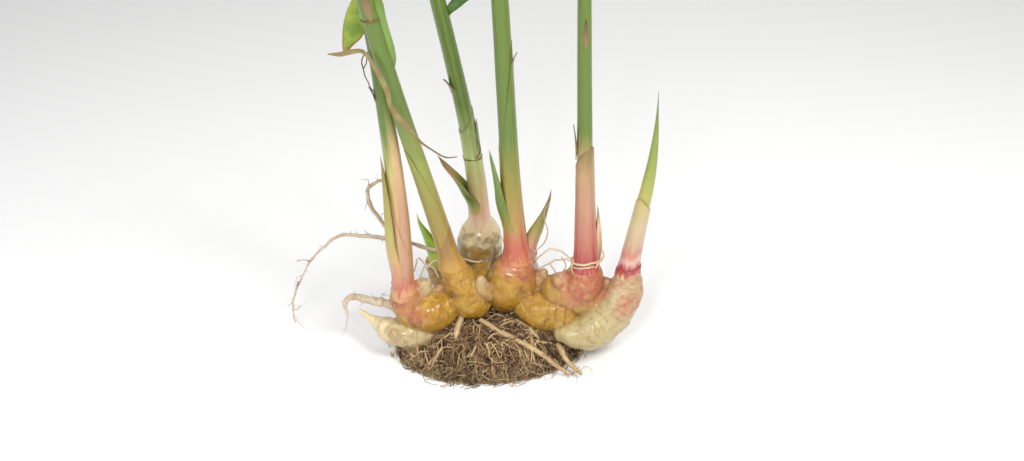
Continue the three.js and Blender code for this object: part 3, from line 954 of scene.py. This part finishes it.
def blade(name, points, normal, twist, cupping, material, stands_for, wall=0.35, stations=90):
    """A leaf blade along a curve whose fourth column is its half width. Across it, u runs from -1 to 1:
    the blade lifts by cupping times u squared, and its wall thins as the root of 1 less u squared."""
    path = smooth_path(points, stations)
    spine, half = path[:, :3], np.maximum(path[:, 3], 0.15)
    up, right = frames(spine, np.asarray(normal, float))
    turn = np.radians(np.interp(np.linspace(0, 1, stations), np.linspace(0, 1, len(twist)), twist))[:, None]
    across_way = right * np.cos(turn) + up * np.sin(turn)
    out_way = up * np.cos(turn) - right * np.sin(turn)
    u = np.linspace(-1, 1, 15)
    across = np.concatenate([u, u[::-1]])
    face = np.repeat([0.5, -0.5], 15)
    lift = cupping * half[:, None] * across**2 + wall * face * np.sqrt(1 - 0.97 * across**2)
    waves = 0.06 * half[:, None] * np.sin(lengths_along(spine)[:, None] * 0.45) * across**2
    rings = spine[:, None] + (half[:, None] * across)[..., None] * across_way[:, None]
    rings = rings + (lift + waves)[..., None] * out_way[:, None]
    along = lengths_along(spine)[:, None] + 0 * across
    grain = np.stack([across * half[:, None], 0 * along, along * 0.05], -1)
    rise = np.linspace(0, 1, stations)[:, None] + 0 * across
    edge = smoothstep(np.abs(across), 0.6, 1.0) * 0.45 + 0 * rise
    fields = {"grain": grain[None], "rise": rise[None], "edge": edge[None]}
    return ring_mesh(name, rings[None], fields, material, stands_for)


def leaves():
    """The drooping leaf, the rolled back leaf and the dried strip that lies over the left stalks."""
    green = leaf_skin("drooping_leaf_skin", srgb(150, 170, 60), srgb(112, 142, 48), srgb(150, 108, 50))
    blade("leaf_drooping", [(-63.5, 3, 237, 2.5), (-66, 3, 229, 5.2), (-70, 2, 219, 6.6),
                            (-74.5, 1, 209, 5.8), (-78, 0, 202, 3), (-80, -2, 197, 0.6)],
          FRONT, (25, 10, -5, 15), -0.25, green, ["drooping_leaf"])
    rolled = leaf_skin("back_leaf_skin", srgb(92, 124, 58), srgb(58, 88, 40), srgb(90, 100, 50))
    blade("leaf_back", [(-26, 24, 205.2, 1.2), (-23.7, 24, 209.2, 2.2), (-20.3, 24, 212, 3),
                        (-15.8, 24, 214.2, 3.4), (-10.9, 24, 216.3, 2.4), (-5.9, 24, 218.5, 0.6)],
          FRONT, (0, 20, 60, 70), 0.7, rolled, ["back_leaf"], 0.9)
    dry = leaf_skin("dried_strip_skin", srgb(146, 140, 84), srgb(134, 112, 74), srgb(116, 90, 68))
    blade("strip_dried", [(-87, -15, 204, 0.4), (-80.4, -17, 204.7, 1.2), (-74, -18, 206.7, 1.3),
                          (-68.5, -20, 208, 1.3), (-64.5, -23, 205, 1.4), (-61, -25, 199, 1.5),
                          (-58.5, -26, 192, 1.5), (-57, -26.5, 186, 1.5), (-56.5, -27, 180, 1.5),
                          (-54.5, -27, 174.5, 1.8), (-50.5, -27, 169.5, 1.7),
                          (-46, -26.5, 163.5, 1.2), (-42, -24, 155, 0.7), (-36.4, -16, 144.7, 0.5),
                          (-30.3, 0, 130.4, 0.45), (-24, 12, 123, 0.3)],
          FRONT, (60, 10, -30, 20, 50, 10, 60, 0), 0.5, dry,
          ["dried_strip"], 0.4, 160)


# ---- Roots -------------------------------------------------------------------------------------


def strand_rings(path, radii, sides):
    """Rings round one path, square to it, with their grain."""
    side, up = frames(path)
    angles = np.linspace(0, 2 * math.pi, sides, endpoint=False)
    turned = np.cos(angles)[:, None] * side[:, None] + np.sin(angles)[:, None] * up[:, None]
    rings = path[:, None] + radii[:, None, None] * turned
    along = lengths_along(path)[:, None] + 0 * angles
    grain = np.stack([np.cos(angles) + 0 * along, np.sin(angles) + 0 * along, along], -1)
    return rings, grain


ROOTS = {
    "long_root": [
        (-40, 12, 58, 1.2), (-60, 8, 69, 1.4), (-78, 8, 73, 1.3), (-95.5, 8, 73.5, 1.0), (-106, 7, 67, 0.8),
        (-116, 6, 55, 0.7), (-125, 5, 38, 0.6), (-128.5, 4, 26, 0.6), (-128, 4, 14, 0.5),
    ],
    "loop_root": [
        (-66, 9.4, 74, 0.9), (-71, 7, 86, 1.2), (-76, 6, 97, 1.3), (-75.6, 5, 108, 1.2), (-70, 4, 113, 1.0),
        (-64, 3, 115.5, 0.8),
    ],
    "thick_root": [
        (-60, -4, 27, 2.6), (-73, -3, 32, 2.8), (-82, -3, 35, 2.5), (-91, -3, 37, 2.1), (-95.6, -4, 33, 1.5),
        (-93.8, -6, 26, 1.0),
    ],
    "white_root": [(-26, -10, 25, 2.0), (-28.5, -19, 21, 2.1), (-29, -27, 13, 2.4), (-29.5, -36, 5, 1.5)],
    "tan_root": [
        (-15, -13, 24, 1.4), (-6, -20, 22, 1.8), (6, -27, 19, 1.7), (20, -34, 14, 1.5), (30, -38, 6, 1.2),
        (38, -41, 2.4, 0.8),
    ],
    "short_root": [(31, -24, 12, 2.0), (36, -34, 8, 1.7), (44, -42, 3, 1.0)],
    "root_stub": [(-9, 12, 42, 2.2), (-7.2, 14.8, 48.5, 2.0), (-5.5, 17.5, 55, 1.9)],
}


def roots():
    """The single roots: tubes along their own curves, knotted by noise."""
    c = colours()
    bark = root_skin("root_bark", srgb(206, 190, 166), srgb(140, 112, 84))
    flesh = root_skin("root_flesh", c.root_cream, c.root_tan, 0.5)
    for number, (node, points) in enumerate(ROOTS.items()):
        fleshy = node in ("white_root", "root_stub", "tan_root", "short_root")
        path = smooth_path(points, 16 * len(points))
        wobble = np.stack([ripple(path[:, :3], 13, 60 + number + k) for k in range(3)], -1)
        fade = smoothstep(np.linspace(0, 1, len(path)), 0, 0.15)[:, None]
        spine = path[:, :3] + 0.5 * wobble * fade
        radii = path[:, 3] * (1 + 0.14 * ripple(spine, 5, 80 + number)) * 0.95
        rings, grain = strand_rings(spine, radii, 12)
        shade = 0.75 + 0.25 * ripple(rings, 20, 90 + number)
        fields = {"grain": grain[None], "shade": shade[None]}
        ring_mesh("single_" + node, rings[None], fields, flesh if fleshy else bark,
                  [node])


def tie(stem, height, lift, tilt, turns, start, radius):
    """A root wound round a stem: a circle of the stem's radius plus lift that rocks up and down by tilt."""
    angles = start + np.linspace(0, 2 * math.pi * turns, 13)
    spine, reach = stem.at(height + tilt * np.sin(angles * 1.3))
    around = np.stack([np.cos(angles), -np.sin(angles), 0 * angles], -1)
    loop = spine + (reach + lift)[:, None] * around
    return np.concatenate([loop, np.full((13, 1), radius)], 1)


def wiry_roots():
    """Thin roots that lie over the crowns and wind round the stalks' feet."""
    c = colours()
    right, back, inner = Stem("stalk_right"), Stem("stalk_back"), Stem("stalk_inner_left")
    pale = [
        [(19, 8, 50, 0.5), (26, 6, 59, 0.6), (33, 4, 61, 0.6), (40, 1, 57, 0.6), (45, -2, 60, 0.4)],
        [(22, 8, 45, 0.4), (29, 7, 50, 0.55), (36, 4, 54, 0.6), (43, 0, 55, 0.4)],
        [(35, 4, 56, 0.5), (37, 3, 50, 0.45), (34, 1, 44, 0.35)],
        [(28, 7, 50, 0.4), (31, 4, 44, 0.4), (29, 2, 40, 0.3)],
        [(40, 2, 56, 0.4), (43, 1, 50, 0.45), (41, 0, 45, 0.35)],
        [(-50, 1, 46, 0.5), (-46, 3, 54, 0.6), (-41, 3, 51, 0.5), (-39, 1, 46, 0.4)],
        [(-46, 2, 52, 0.5), (-40, 5, 56, 0.55), (-34, 3, 51, 0.5), (-31, -3, 49, 0.4), (-30, -7, 46, 0.3)],
        [(-53, 0, 52, 0.5), (-50, 2, 60, 0.5), (-47, 4, 55, 0.45), (-44, 3, 50, 0.4)],
        [(-28, 24, 49, 0.5), (-24, 20, 46, 0.65), (-15, 18.5, 44, 0.7), (-6, 19, 45, 0.65),
         (1, 23, 49, 0.4)],
        [(-26, 22, 40, 0.4), (-20, 18, 38, 0.6), (-12, 17.5, 37, 0.6), (-6, 17, 39, 0.4)],
        [(-5, 30, 60, 0.4), (0, 26, 56, 0.5), (1, 22, 50, 0.5), (-2, 20, 45, 0.4)],
        [(16, 6, 58, 0.3), (24, 8, 62, 0.45), (27, 8, 72, 0.4), (25, 9, 82, 0.3), (28, 11, 90, 0.25)],
        tie(right, right.low + 9, 0.7, 1.2, 0.9, 0.2, 0.75), tie(right, right.low + 6.5, 0.6, 1.4, 0.7, 0.9,
                                                                 0.6),
        [(53, -17, 62, 0.5), (57, -15, 66, 0.7), (58.5, -13, 69, 0.6), (57.5, -12, 71, 0.4)],
        [(41, -13, 66, 0.5), (40, -14, 60, 0.5), (41.5, -16, 54, 0.4)],
    ]
    dark = [
        tie(back, 112, 0.35, 0.5, 0.8, -0.4, 0.36), tie(back, 111.2, 0.4, 0.8, 0.5, 0.4, 0.3),
        tie(inner, 226, 0.3, 0.6, 0.6, 0.4, 0.6),
        [(-13.6, 25.5, 113, 0.3), (-11.2, 25, 117, 0.34), (-11, 25.5, 122, 0.3), (-13, 26, 127, 0.25)],
        [(-67.6, -15, 204.6, 0.25), (-70, -14, 197, 0.35), (-68.6, -14, 190, 0.3), (-66.8, -14, 184, 0.3),
         (-63.5, -14, 176, 0.3)],
        [(-66, -16, 205, 0.25), (-67.5, -15, 198, 0.3), (-69.5, -14, 194, 0.25)],
    ]
    for name, curves, skin in (
        ("wiry_roots_pale", pale, root_skin("wiry_pale_skin", srgb(232, 218, 194), srgb(196, 160, 120),
                                            0.55)),
        ("fibre_ties", dark, root_skin("fibre_tie_skin", c.husk, c.root_brown, 0.7)),
    ):
        built = []
        for number, points in enumerate(curves):
            path = smooth_path(points, 56)
            spine = path[:, :3] + 0.35 * np.stack([ripple(path[:, :3], 7,
                                                          200 + number + k) for k in range(3)], -1)
            built.append(strand_rings(spine, path[:, 3], 7))
        rings, grain = (np.stack(part) for part in zip(*built))
        shade = np.broadcast_to(np.linspace(1, 0.3, len(curves))[:, None, None], rings.shape[:3])
        ring_mesh(name, rings, {"grain": grain, "shade": shade}, skin)


def strands(name, starts, headings, lengths, thick, sag, curl, seed, material, slot, oval=None, stations=14,
            sides=5):
    """Many thin strands at once. Each runs from its start along its heading, sags with the square of the
    distance run, and curls by three sine waves in each direction. None goes below the floor, and past the
    oval, given as its middle and half width and depth, they are drawn in."""
    rng = np.random.default_rng(seed)
    count = len(starts)
    t = np.linspace(0, 1, stations)
    run = t * lengths[:, None]
    path = starts[:, None] + run[..., None] * unit(headings)[:, None]
    path[..., 2] -= sag * run**2 / lengths.mean()
    for axis in range(3):
        for wave in (0.8, 1.9, 3.3):
            phase = rng.uniform(0, 2 * math.pi, (count, 1))
            size = rng.normal(0, curl / wave, (count, 1)) * lengths[:, None] / lengths.mean()
            path[...,
                 axis] += size * (np.sin(2 * math.pi * wave * t + phase) - np.sin(phase)) * np.minimum(1,
                                                                                                       3 * t)
    if oval:
        over = (path[..., :2] - oval[0]) / oval[1]
        beyond = np.maximum(np.linalg.norm(over, axis=-1, keepdims=True), 1)
        path[..., :2] = oval[0] + oval[1] * over * beyond ** rng.uniform(-0.95, -0.5, (count, 1, 1))
    radius = thick * rng.lognormal(0, 0.28, count)
    path[..., 2] = np.maximum(path[..., 2], radius[:, None] * 1.1 + rng.uniform(0, 0.8, (count, 1)))
    tangent = unit(np.gradient(path, axis=1))
    side = unit(np.cross(tangent, np.array([0.06, 0.04, 1.0])))
    up = np.cross(side, tangent)
    angles = np.linspace(0, 2 * math.pi, sides, endpoint=False)
    phase = rng.uniform(0, 2 * math.pi, (count, 1))
    radii = radius[:, None] * (1 - 0.8 * t**1.5) * (1 + 0.18 * np.sin(11 * t + phase))
    turned = np.cos(angles)[:, None] * side[:, :, None] + np.sin(angles)[:, None] * up[:, :, None]
    rings = path[:, :, None] + radii[..., None, None] * turned
    grain = np.stack(np.broadcast_arrays(np.cos(angles), np.sin(angles), run[..., None]), -1)
    shade = np.broadcast_to(rng.uniform(0, 1, (count, 1, 1)), rings.shape[:3])
    return ring_mesh(name, rings, {"grain": grain, "shade": shade}, material)


def root_hairs():
    """Fine side roots along the single roots, spread evenly over their curves and pointing every way."""
    c = colours()
    rng = np.random.default_rng(SEED + 30)
    counts = {"long_root": 34, "loop_root": 18, "thick_root": 20, "tan_root": 12, "short_root": 26,
              "white_root": 6}
    starts, headings = [], []
    for node, count in counts.items():
        path = smooth_path(ROOTS[node], 200)[:, :3]
        picks = rng.integers(14, 196, count)
        ahead = unit(np.gradient(path, axis=0))[picks]
        starts.append(path[picks])
        headings.append(unit(rng.normal(size=(count, 3))) + 0.5 * ahead)
    starts, headings = np.concatenate(starts), np.concatenate(headings)
    lengths = 7 * rng.lognormal(-0.35, 0.6, len(starts)).clip(0.2, 2.6)
    strands("root_hairs", starts, headings, lengths, 0.2, 0.2, 0.5, SEED + 31,
            root_skin("root_hair_skin", c.root_cream, c.root_tan), "root_fibre")


def coarse_roots():
    """Thicker roots that leave the underside of the lobes, hang over the mat and run out on the floor, and
    the mat's shaggy fringe."""
    c = colours()
    rng = np.random.default_rng(SEED + 40)
    count = COARSE_ROOTS
    bearing = rng.uniform(0, 2 * math.pi, count)
    out = np.stack([np.cos(bearing), np.sin(bearing)], -1)
    low, high = (np.array(corner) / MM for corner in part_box("root_mat"))
    middle, half = (low + high)[:2] / 2, (high - low)[:2] / 2
    spot = rng.uniform(0.3, 0.72, (count, 1))
    starts = np.concatenate([middle + half * spot * out, 24 - 9 * spot], 1)
    headings = np.concatenate(
        [out + rng.normal(0, 0.45, (count, 2)), rng.uniform(-0.25, 0.1, (count, 1))], 1
    )
    flesh = root_skin("coarse_root_skin", c.root_cream, c.root_tan, 0.6)
    strands("coarse_roots", starts, headings, rng.uniform(16, 42, count), 0.55, 0.5, 3.2, SEED + 41, flesh,
            "root_fibre", (middle, half + 2), 24, 8)
    count = FRINGE_ROOTS
    bearing = rng.uniform(0, 2 * math.pi, count)
    out = np.stack([np.cos(bearing), np.sin(bearing)], -1)
    spot = rng.uniform(0.82, 1.02, (count, 1))
    starts = np.concatenate([middle + half * spot * out, rng.uniform(0.5, 7, (count, 1))], 1)
    swirl = np.stack([-out[:, 1], out[:, 0]], -1) * rng.normal(0, 0.9, (count, 1))
    headings = np.concatenate([out + swirl, rng.uniform(-0.2, 0.35, (count, 1))], 1)
    lengths = 13 * rng.lognormal(-0.1, 0.4, count).clip(0.3, 1.9)
    strands("root_fringe", starts, headings, lengths, 0.32, 0.6, 1.7, SEED + 42,
            root_skin("fringe_skin", c.root_cream, c.root_brown), "root_fibre", (middle, half + 4))


def mat_height(x, y, middle, half, top):
    """Height of the root mat's dome: the upper half of an ellipsoid, a little squared off."""
    away = ((x - middle[0]) / half[0]) ** 2 + ((y - middle[1]) / half[1]) ** 2
    return top * np.sqrt(np.clip(1 - away**1.3, 0, 1))


def fibre_layer(count, seed, thick, lift):
    """A tangle of root fibres. Each starts on the dome and wanders over it: a straight run plus three
    sine waves each way. Its height is the dome's, times its own depth share, plus a wave of its own."""
    rng = np.random.default_rng(seed)
    low, high = (np.array(corner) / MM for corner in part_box("root_mat"))
    middle, half = (low + high)[:2] / 2, (high - low)[:2] / 2 + 1.5
    stations, sides = 13, 5
    t = np.linspace(0, 1, stations)
    spot = np.sqrt(rng.uniform(0, 1, count)) * 0.97
    bearing = rng.uniform(0, 2 * math.pi, count)
    start = middle + half * spot[:, None] * np.stack([np.cos(bearing), np.sin(bearing)], -1)
    heading = bearing + rng.normal(0, 1.3, count)
    length = rng.uniform(9, 34, count) * lift
    run = t * length[:, None]
    path = np.zeros((count, stations, 3))
    for axis, aim in enumerate((np.cos(heading), np.sin(heading))):
        path[..., axis] = start[:, axis, None] + aim[:, None] * run
        for wave in (1.0, 2.1, 3.6):
            phase = rng.uniform(0, 2 * math.pi, (count, 1))
            path[..., axis] += rng.normal(0, 2.6 / wave, (count, 1)) * np.sin(2 * math.pi * wave * t + phase)
    over = (path[..., :2] - middle) / half
    beyond = np.maximum(np.linalg.norm(over, axis=-1, keepdims=True), 1.0)
    path[..., :2] = middle + half * over / beyond ** 0.85
    share = 1 - rng.uniform(0, 1, (count, 1)) ** 1.6 * 0.8
    phase = rng.uniform(0, 2 * math.pi, (count, 1))
    bob = rng.uniform(0.4, 2.4, (count, 1)) * np.sin(2 * math.pi * 1.4 * t + phase)
    radius = thick * rng.lognormal(0, 0.3, count)
    path[..., 2] = mat_height(path[..., 0], path[..., 1], middle, half, high[2]) * share + bob
    floor = radius[:, None] + 0.1 + 0.3 * rng.uniform(0, 1, (count, 1))
    path[..., 2] = np.maximum(path[..., 2], floor)
    tangent = unit(np.gradient(path, axis=1))
    side = unit(np.cross(tangent, np.array([0.05, 0.03, 1.0])))
    up = np.cross(side, tangent)
    angles = np.linspace(0, 2 * math.pi, sides, endpoint=False)
    radii = radius[:, None] * (1 - 0.75 * t**2) * (1 + 0.2 * np.sin(9 * t + phase))
    turned = np.cos(angles)[:, None] * side[:, :, None] + np.sin(angles)[:, None] * up[:, :, None]
    rings = path[:, :, None] + radii[..., None, None] * turned
    grain = np.stack(np.broadcast_arrays(np.cos(angles), np.sin(angles), run[..., None]), -1)
    # Each fibre has its own tone, darkened the lower it lies in the mat: painted shade under the fibres
    # above it.
    shade = np.broadcast_to(rng.uniform(0, 1, (count, 1, 1)) * (0.3 + 0.7 * share[..., None]),
                            rings.shape[:3])
    return rings, {"grain": grain, "shade": shade}


def root_mat():
    """The root mat: a lumpy core, painted dark as the shade deep in the tangle, that backs layers of fine
    fibres.
    """
    c = colours()
    low, high = (np.array(corner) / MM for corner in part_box("root_mat"))
    middle, half = (low + high)[:2] / 2, (high - low)[:2] / 2
    levels, sides = 26, 90
    shares = np.sin(np.linspace(0, math.pi / 2, levels)) * 0.88
    angles = np.linspace(0, 2 * math.pi, sides, endpoint=False)
    around = np.stack([np.cos(angles), np.sin(angles)], -1)
    spots = middle + half * shares[::-1, None, None] * around
    top = mat_height(spots[..., 0], spots[..., 1], middle, half, high[2])
    rings = np.concatenate([spots, np.maximum(top * 0.8, 0.1)[..., None]], -1)
    rings[..., 2] *= 1 + 0.16 * ripple(rings, 9, 41) + 0.1 * ripple(rings, 3, 42)
    floor_ring = np.concatenate([spots[:1], np.zeros((1, sides, 1))], -1)
    rings = np.concatenate([floor_ring, rings])[None]
    grain = rings * 1.0
    # The core's dark colour is painted shade deep inside the tangle of fibres.
    ring_mesh("root_mat_core", rings, {"grain": grain, "shade": 0.25 + 0.2 * ripple(rings, 4, 44)},
              root_skin("root_mat_shade", c.root_tan, c.root_brown, 0.95), ["root_mat"])
    number = sizes().fine_roots
    layers = (
        ("fine_roots_deep", number, 0.42, 1.0, c.root_tan, c.root_brown),
        ("fine_roots_middle", number, 0.36, 1.15, c.root_cream, c.root_brown),
        ("fine_roots_top", number, 0.5, 1.3, c.root_cream, c.root_tan),
    )
    for seed, (name, count, thick, lift, light, dark) in enumerate(layers, SEED):
        rings, fields = fibre_layer(count, seed, thick, lift)
        ring_mesh(name, rings, fields, root_skin(name + "_skin", light, dark))


# ---- The stage ---------------------------------------------------------------------------------

CAMERA_PLACE = (0, -634.67, 511.83)
CAMERA_AZIMUTH, CAMERA_ELEVATION, CAMERA_ROLL = math.radians(-0.536), math.radians(34.3), math.radians(1.8)
CAMERA_LENS = 46.34


def camera():
    """The camera: it looks down from the front, turned a little about its own line of sight."""
    across, steep = CAMERA_AZIMUTH, CAMERA_ELEVATION
    back = Vector((math.sin(across) * math.cos(steep), -math.cos(across) * math.cos(steep), math.sin(steep)))
    right = Vector((0, 0, 1)).cross(back).normalized()
    up = back.cross(right)
    level = Matrix((right, up, back)).transposed()
    lens = bpy.data.cameras.new("camera")
    lens.lens, lens.sensor_width = CAMERA_LENS, 36
    lens.clip_start, lens.clip_end = 0.01, 50
    eye = bpy.data.objects.new("camera", lens)
    turn = Matrix.Rotation(-CAMERA_ROLL, 3, "Z")
    eye.matrix_world = Matrix.Translation(Vector(CAMERA_PLACE) * MM) @ (level @ turn).to_4x4()
    bpy.context.scene.collection.objects.link(eye)
    bpy.context.scene.camera = eye


def softbox(name, place, aim, width, power, tint):
    """A square area light that looks from its place at its aim, both in millimetres."""
    data = bpy.data.lights.new(name, "AREA")
    data.shape, data.size, data.energy, data.color = "SQUARE", width * MM, power, tint
    lamp = bpy.data.objects.new(name, data)
    lamp.location = Vector(place) * MM
    lamp.rotation_euler = (Vector(aim) - Vector(place)).to_track_quat("-Z", "Y").to_euler()
    bpy.context.scene.collection.objects.link(lamp)


def stage():
    """Floor, soft light all round, a key light from the upper right and a fill from the left."""
    camera()
    reach = 6.0
    mesh = bpy.data.meshes.new("floor")
    mesh.from_pydata([(x * reach, y * reach, 0) for x, y in ((-1, -1), (1, -1), (1, 1), (-1, 1))], [],
                     [(0, 1, 2, 3)])
    floor = bpy.data.objects.new("floor", mesh)
    bpy.context.scene.collection.objects.link(floor)
    mesh.materials.append(Sketch("floor_paint").finish(colours().floor, 0.7))
    world = bpy.data.worlds.new("surroundings")
    world.use_nodes = True
    world.node_tree.nodes["Background"].inputs["Color"].default_value = (1, 1, 1, 1)
    world.node_tree.nodes["Background"].inputs["Strength"].default_value = WORLD_LIGHT
    bpy.context.scene.world = world
    aim = (0, 0, 60)
    softbox("key_light", (520, -420, 900), aim, 380, 7.4, (1, 0.99, 0.96))
    softbox("fill_light", (-700, -500, 600), aim, 700, 3.0, (0.97, 0.98, 1))
    softbox("glint_light", (-140, -620, 640), aim, 170, 3.0, (1, 1, 1))
    softbox("top_light", (-100, 250, 1100), aim, 500, 2.5, (1, 1, 1))
    bpy.context.scene.view_settings.view_transform = "Standard"


# ---- Operators ---------------------------------------------------------------------------------


class GINGER_OT_stage(bpy.types.Operator):
    """Set the floor, the lights and the camera"""

    bl_idname = "ginger.stage"
    bl_label = "Stage"

    def execute(self, context):
        stage()
        return {"FINISHED"}


class GINGER_OT_rhizome(bpy.types.Operator):
    """Build the rhizome with its lobes, buds and leaf scars"""

    bl_idname = "ginger.rhizome"
    bl_label = "Rhizome"

    def execute(self, context):
        rhizome()
        return {"FINISHED"}


class GINGER_OT_stalks(bpy.types.Operator):
    """Build the five cut leaf stalks"""

    bl_idname = "ginger.stalks"
    bl_label = "Stalks"

    def execute(self, context):
        stalks()
        return {"FINISHED"}


class GINGER_OT_shoots(bpy.types.Operator):
    """Build the young shoot, the side shoots and every sheath"""

    bl_idname = "ginger.shoots"
    bl_label = "Shoots and sheaths"

    def execute(self, context):
        young_shoot()
        free_sheaths()
        sheath_mouths()
        bracts()
        return {"FINISHED"}


class GINGER_OT_leaves(bpy.types.Operator):
    """Build the leaves and the dried strip"""

    bl_idname = "ginger.leaves"
    bl_label = "Leaves"

    def execute(self, context):
        leaves()
        return {"FINISHED"}


class GINGER_OT_roots(bpy.types.Operator):
    """Build the single roots"""

    bl_idname = "ginger.roots"
    bl_label = "Single roots"

    def execute(self, context):
        roots()
        wiry_roots()
        root_hairs()
        return {"FINISHED"}


class GINGER_OT_root_mat(bpy.types.Operator):
    """Build the tangled mat of fine roots"""

    bl_idname = "ginger.root_mat"
    bl_label = "Root mat"

    def execute(self, context):
        root_mat()
        coarse_roots()
        return {"FINISHED"}


OPERATORS = (
    GINGER_OT_stage, GINGER_OT_rhizome, GINGER_OT_stalks, GINGER_OT_shoots, GINGER_OT_leaves,
    GINGER_OT_roots,
    GINGER_OT_root_mat,
)


class GINGER_PT_clump(bpy.types.Panel):
    """Lists the steps that build the clump"""

    bl_idname = "GINGER_PT_clump"
    bl_label = "Ginger clump"
    bl_space_type = "VIEW_3D"
    bl_region_type = "UI"
    bl_category = "Ginger"

    def draw(self, context):
        for operator in OPERATORS:
            self.layout.operator(operator.bl_idname)
        for settings in (context.scene.ginger_sizes, context.scene.ginger_colours):
            box = self.layout.box()
            for key in settings.bl_rna.properties.keys():
                if key not in ("rna_type", "name"):
                    box.prop(settings, key)


CLASSES = (GingerSizes, GingerColours, *OPERATORS, GINGER_PT_clump)


def register():
    for cls in CLASSES:
        bpy.utils.register_class(cls)
    bpy.types.Scene.ginger_sizes = PointerProperty(type=GingerSizes)
    bpy.types.Scene.ginger_colours = PointerProperty(type=GingerColours)


def unregister():
    del bpy.types.Scene.ginger_colours
    del bpy.types.Scene.ginger_sizes
    for cls in reversed(CLASSES):
        bpy.utils.unregister_class(cls)


def main():
    """Builds everything through the operators."""
    register()
    for operator in OPERATORS:
        group, name = operator.bl_idname.split(".")
        getattr(getattr(bpy.ops, group), name)()


if __name__ == "__main__":
    main()
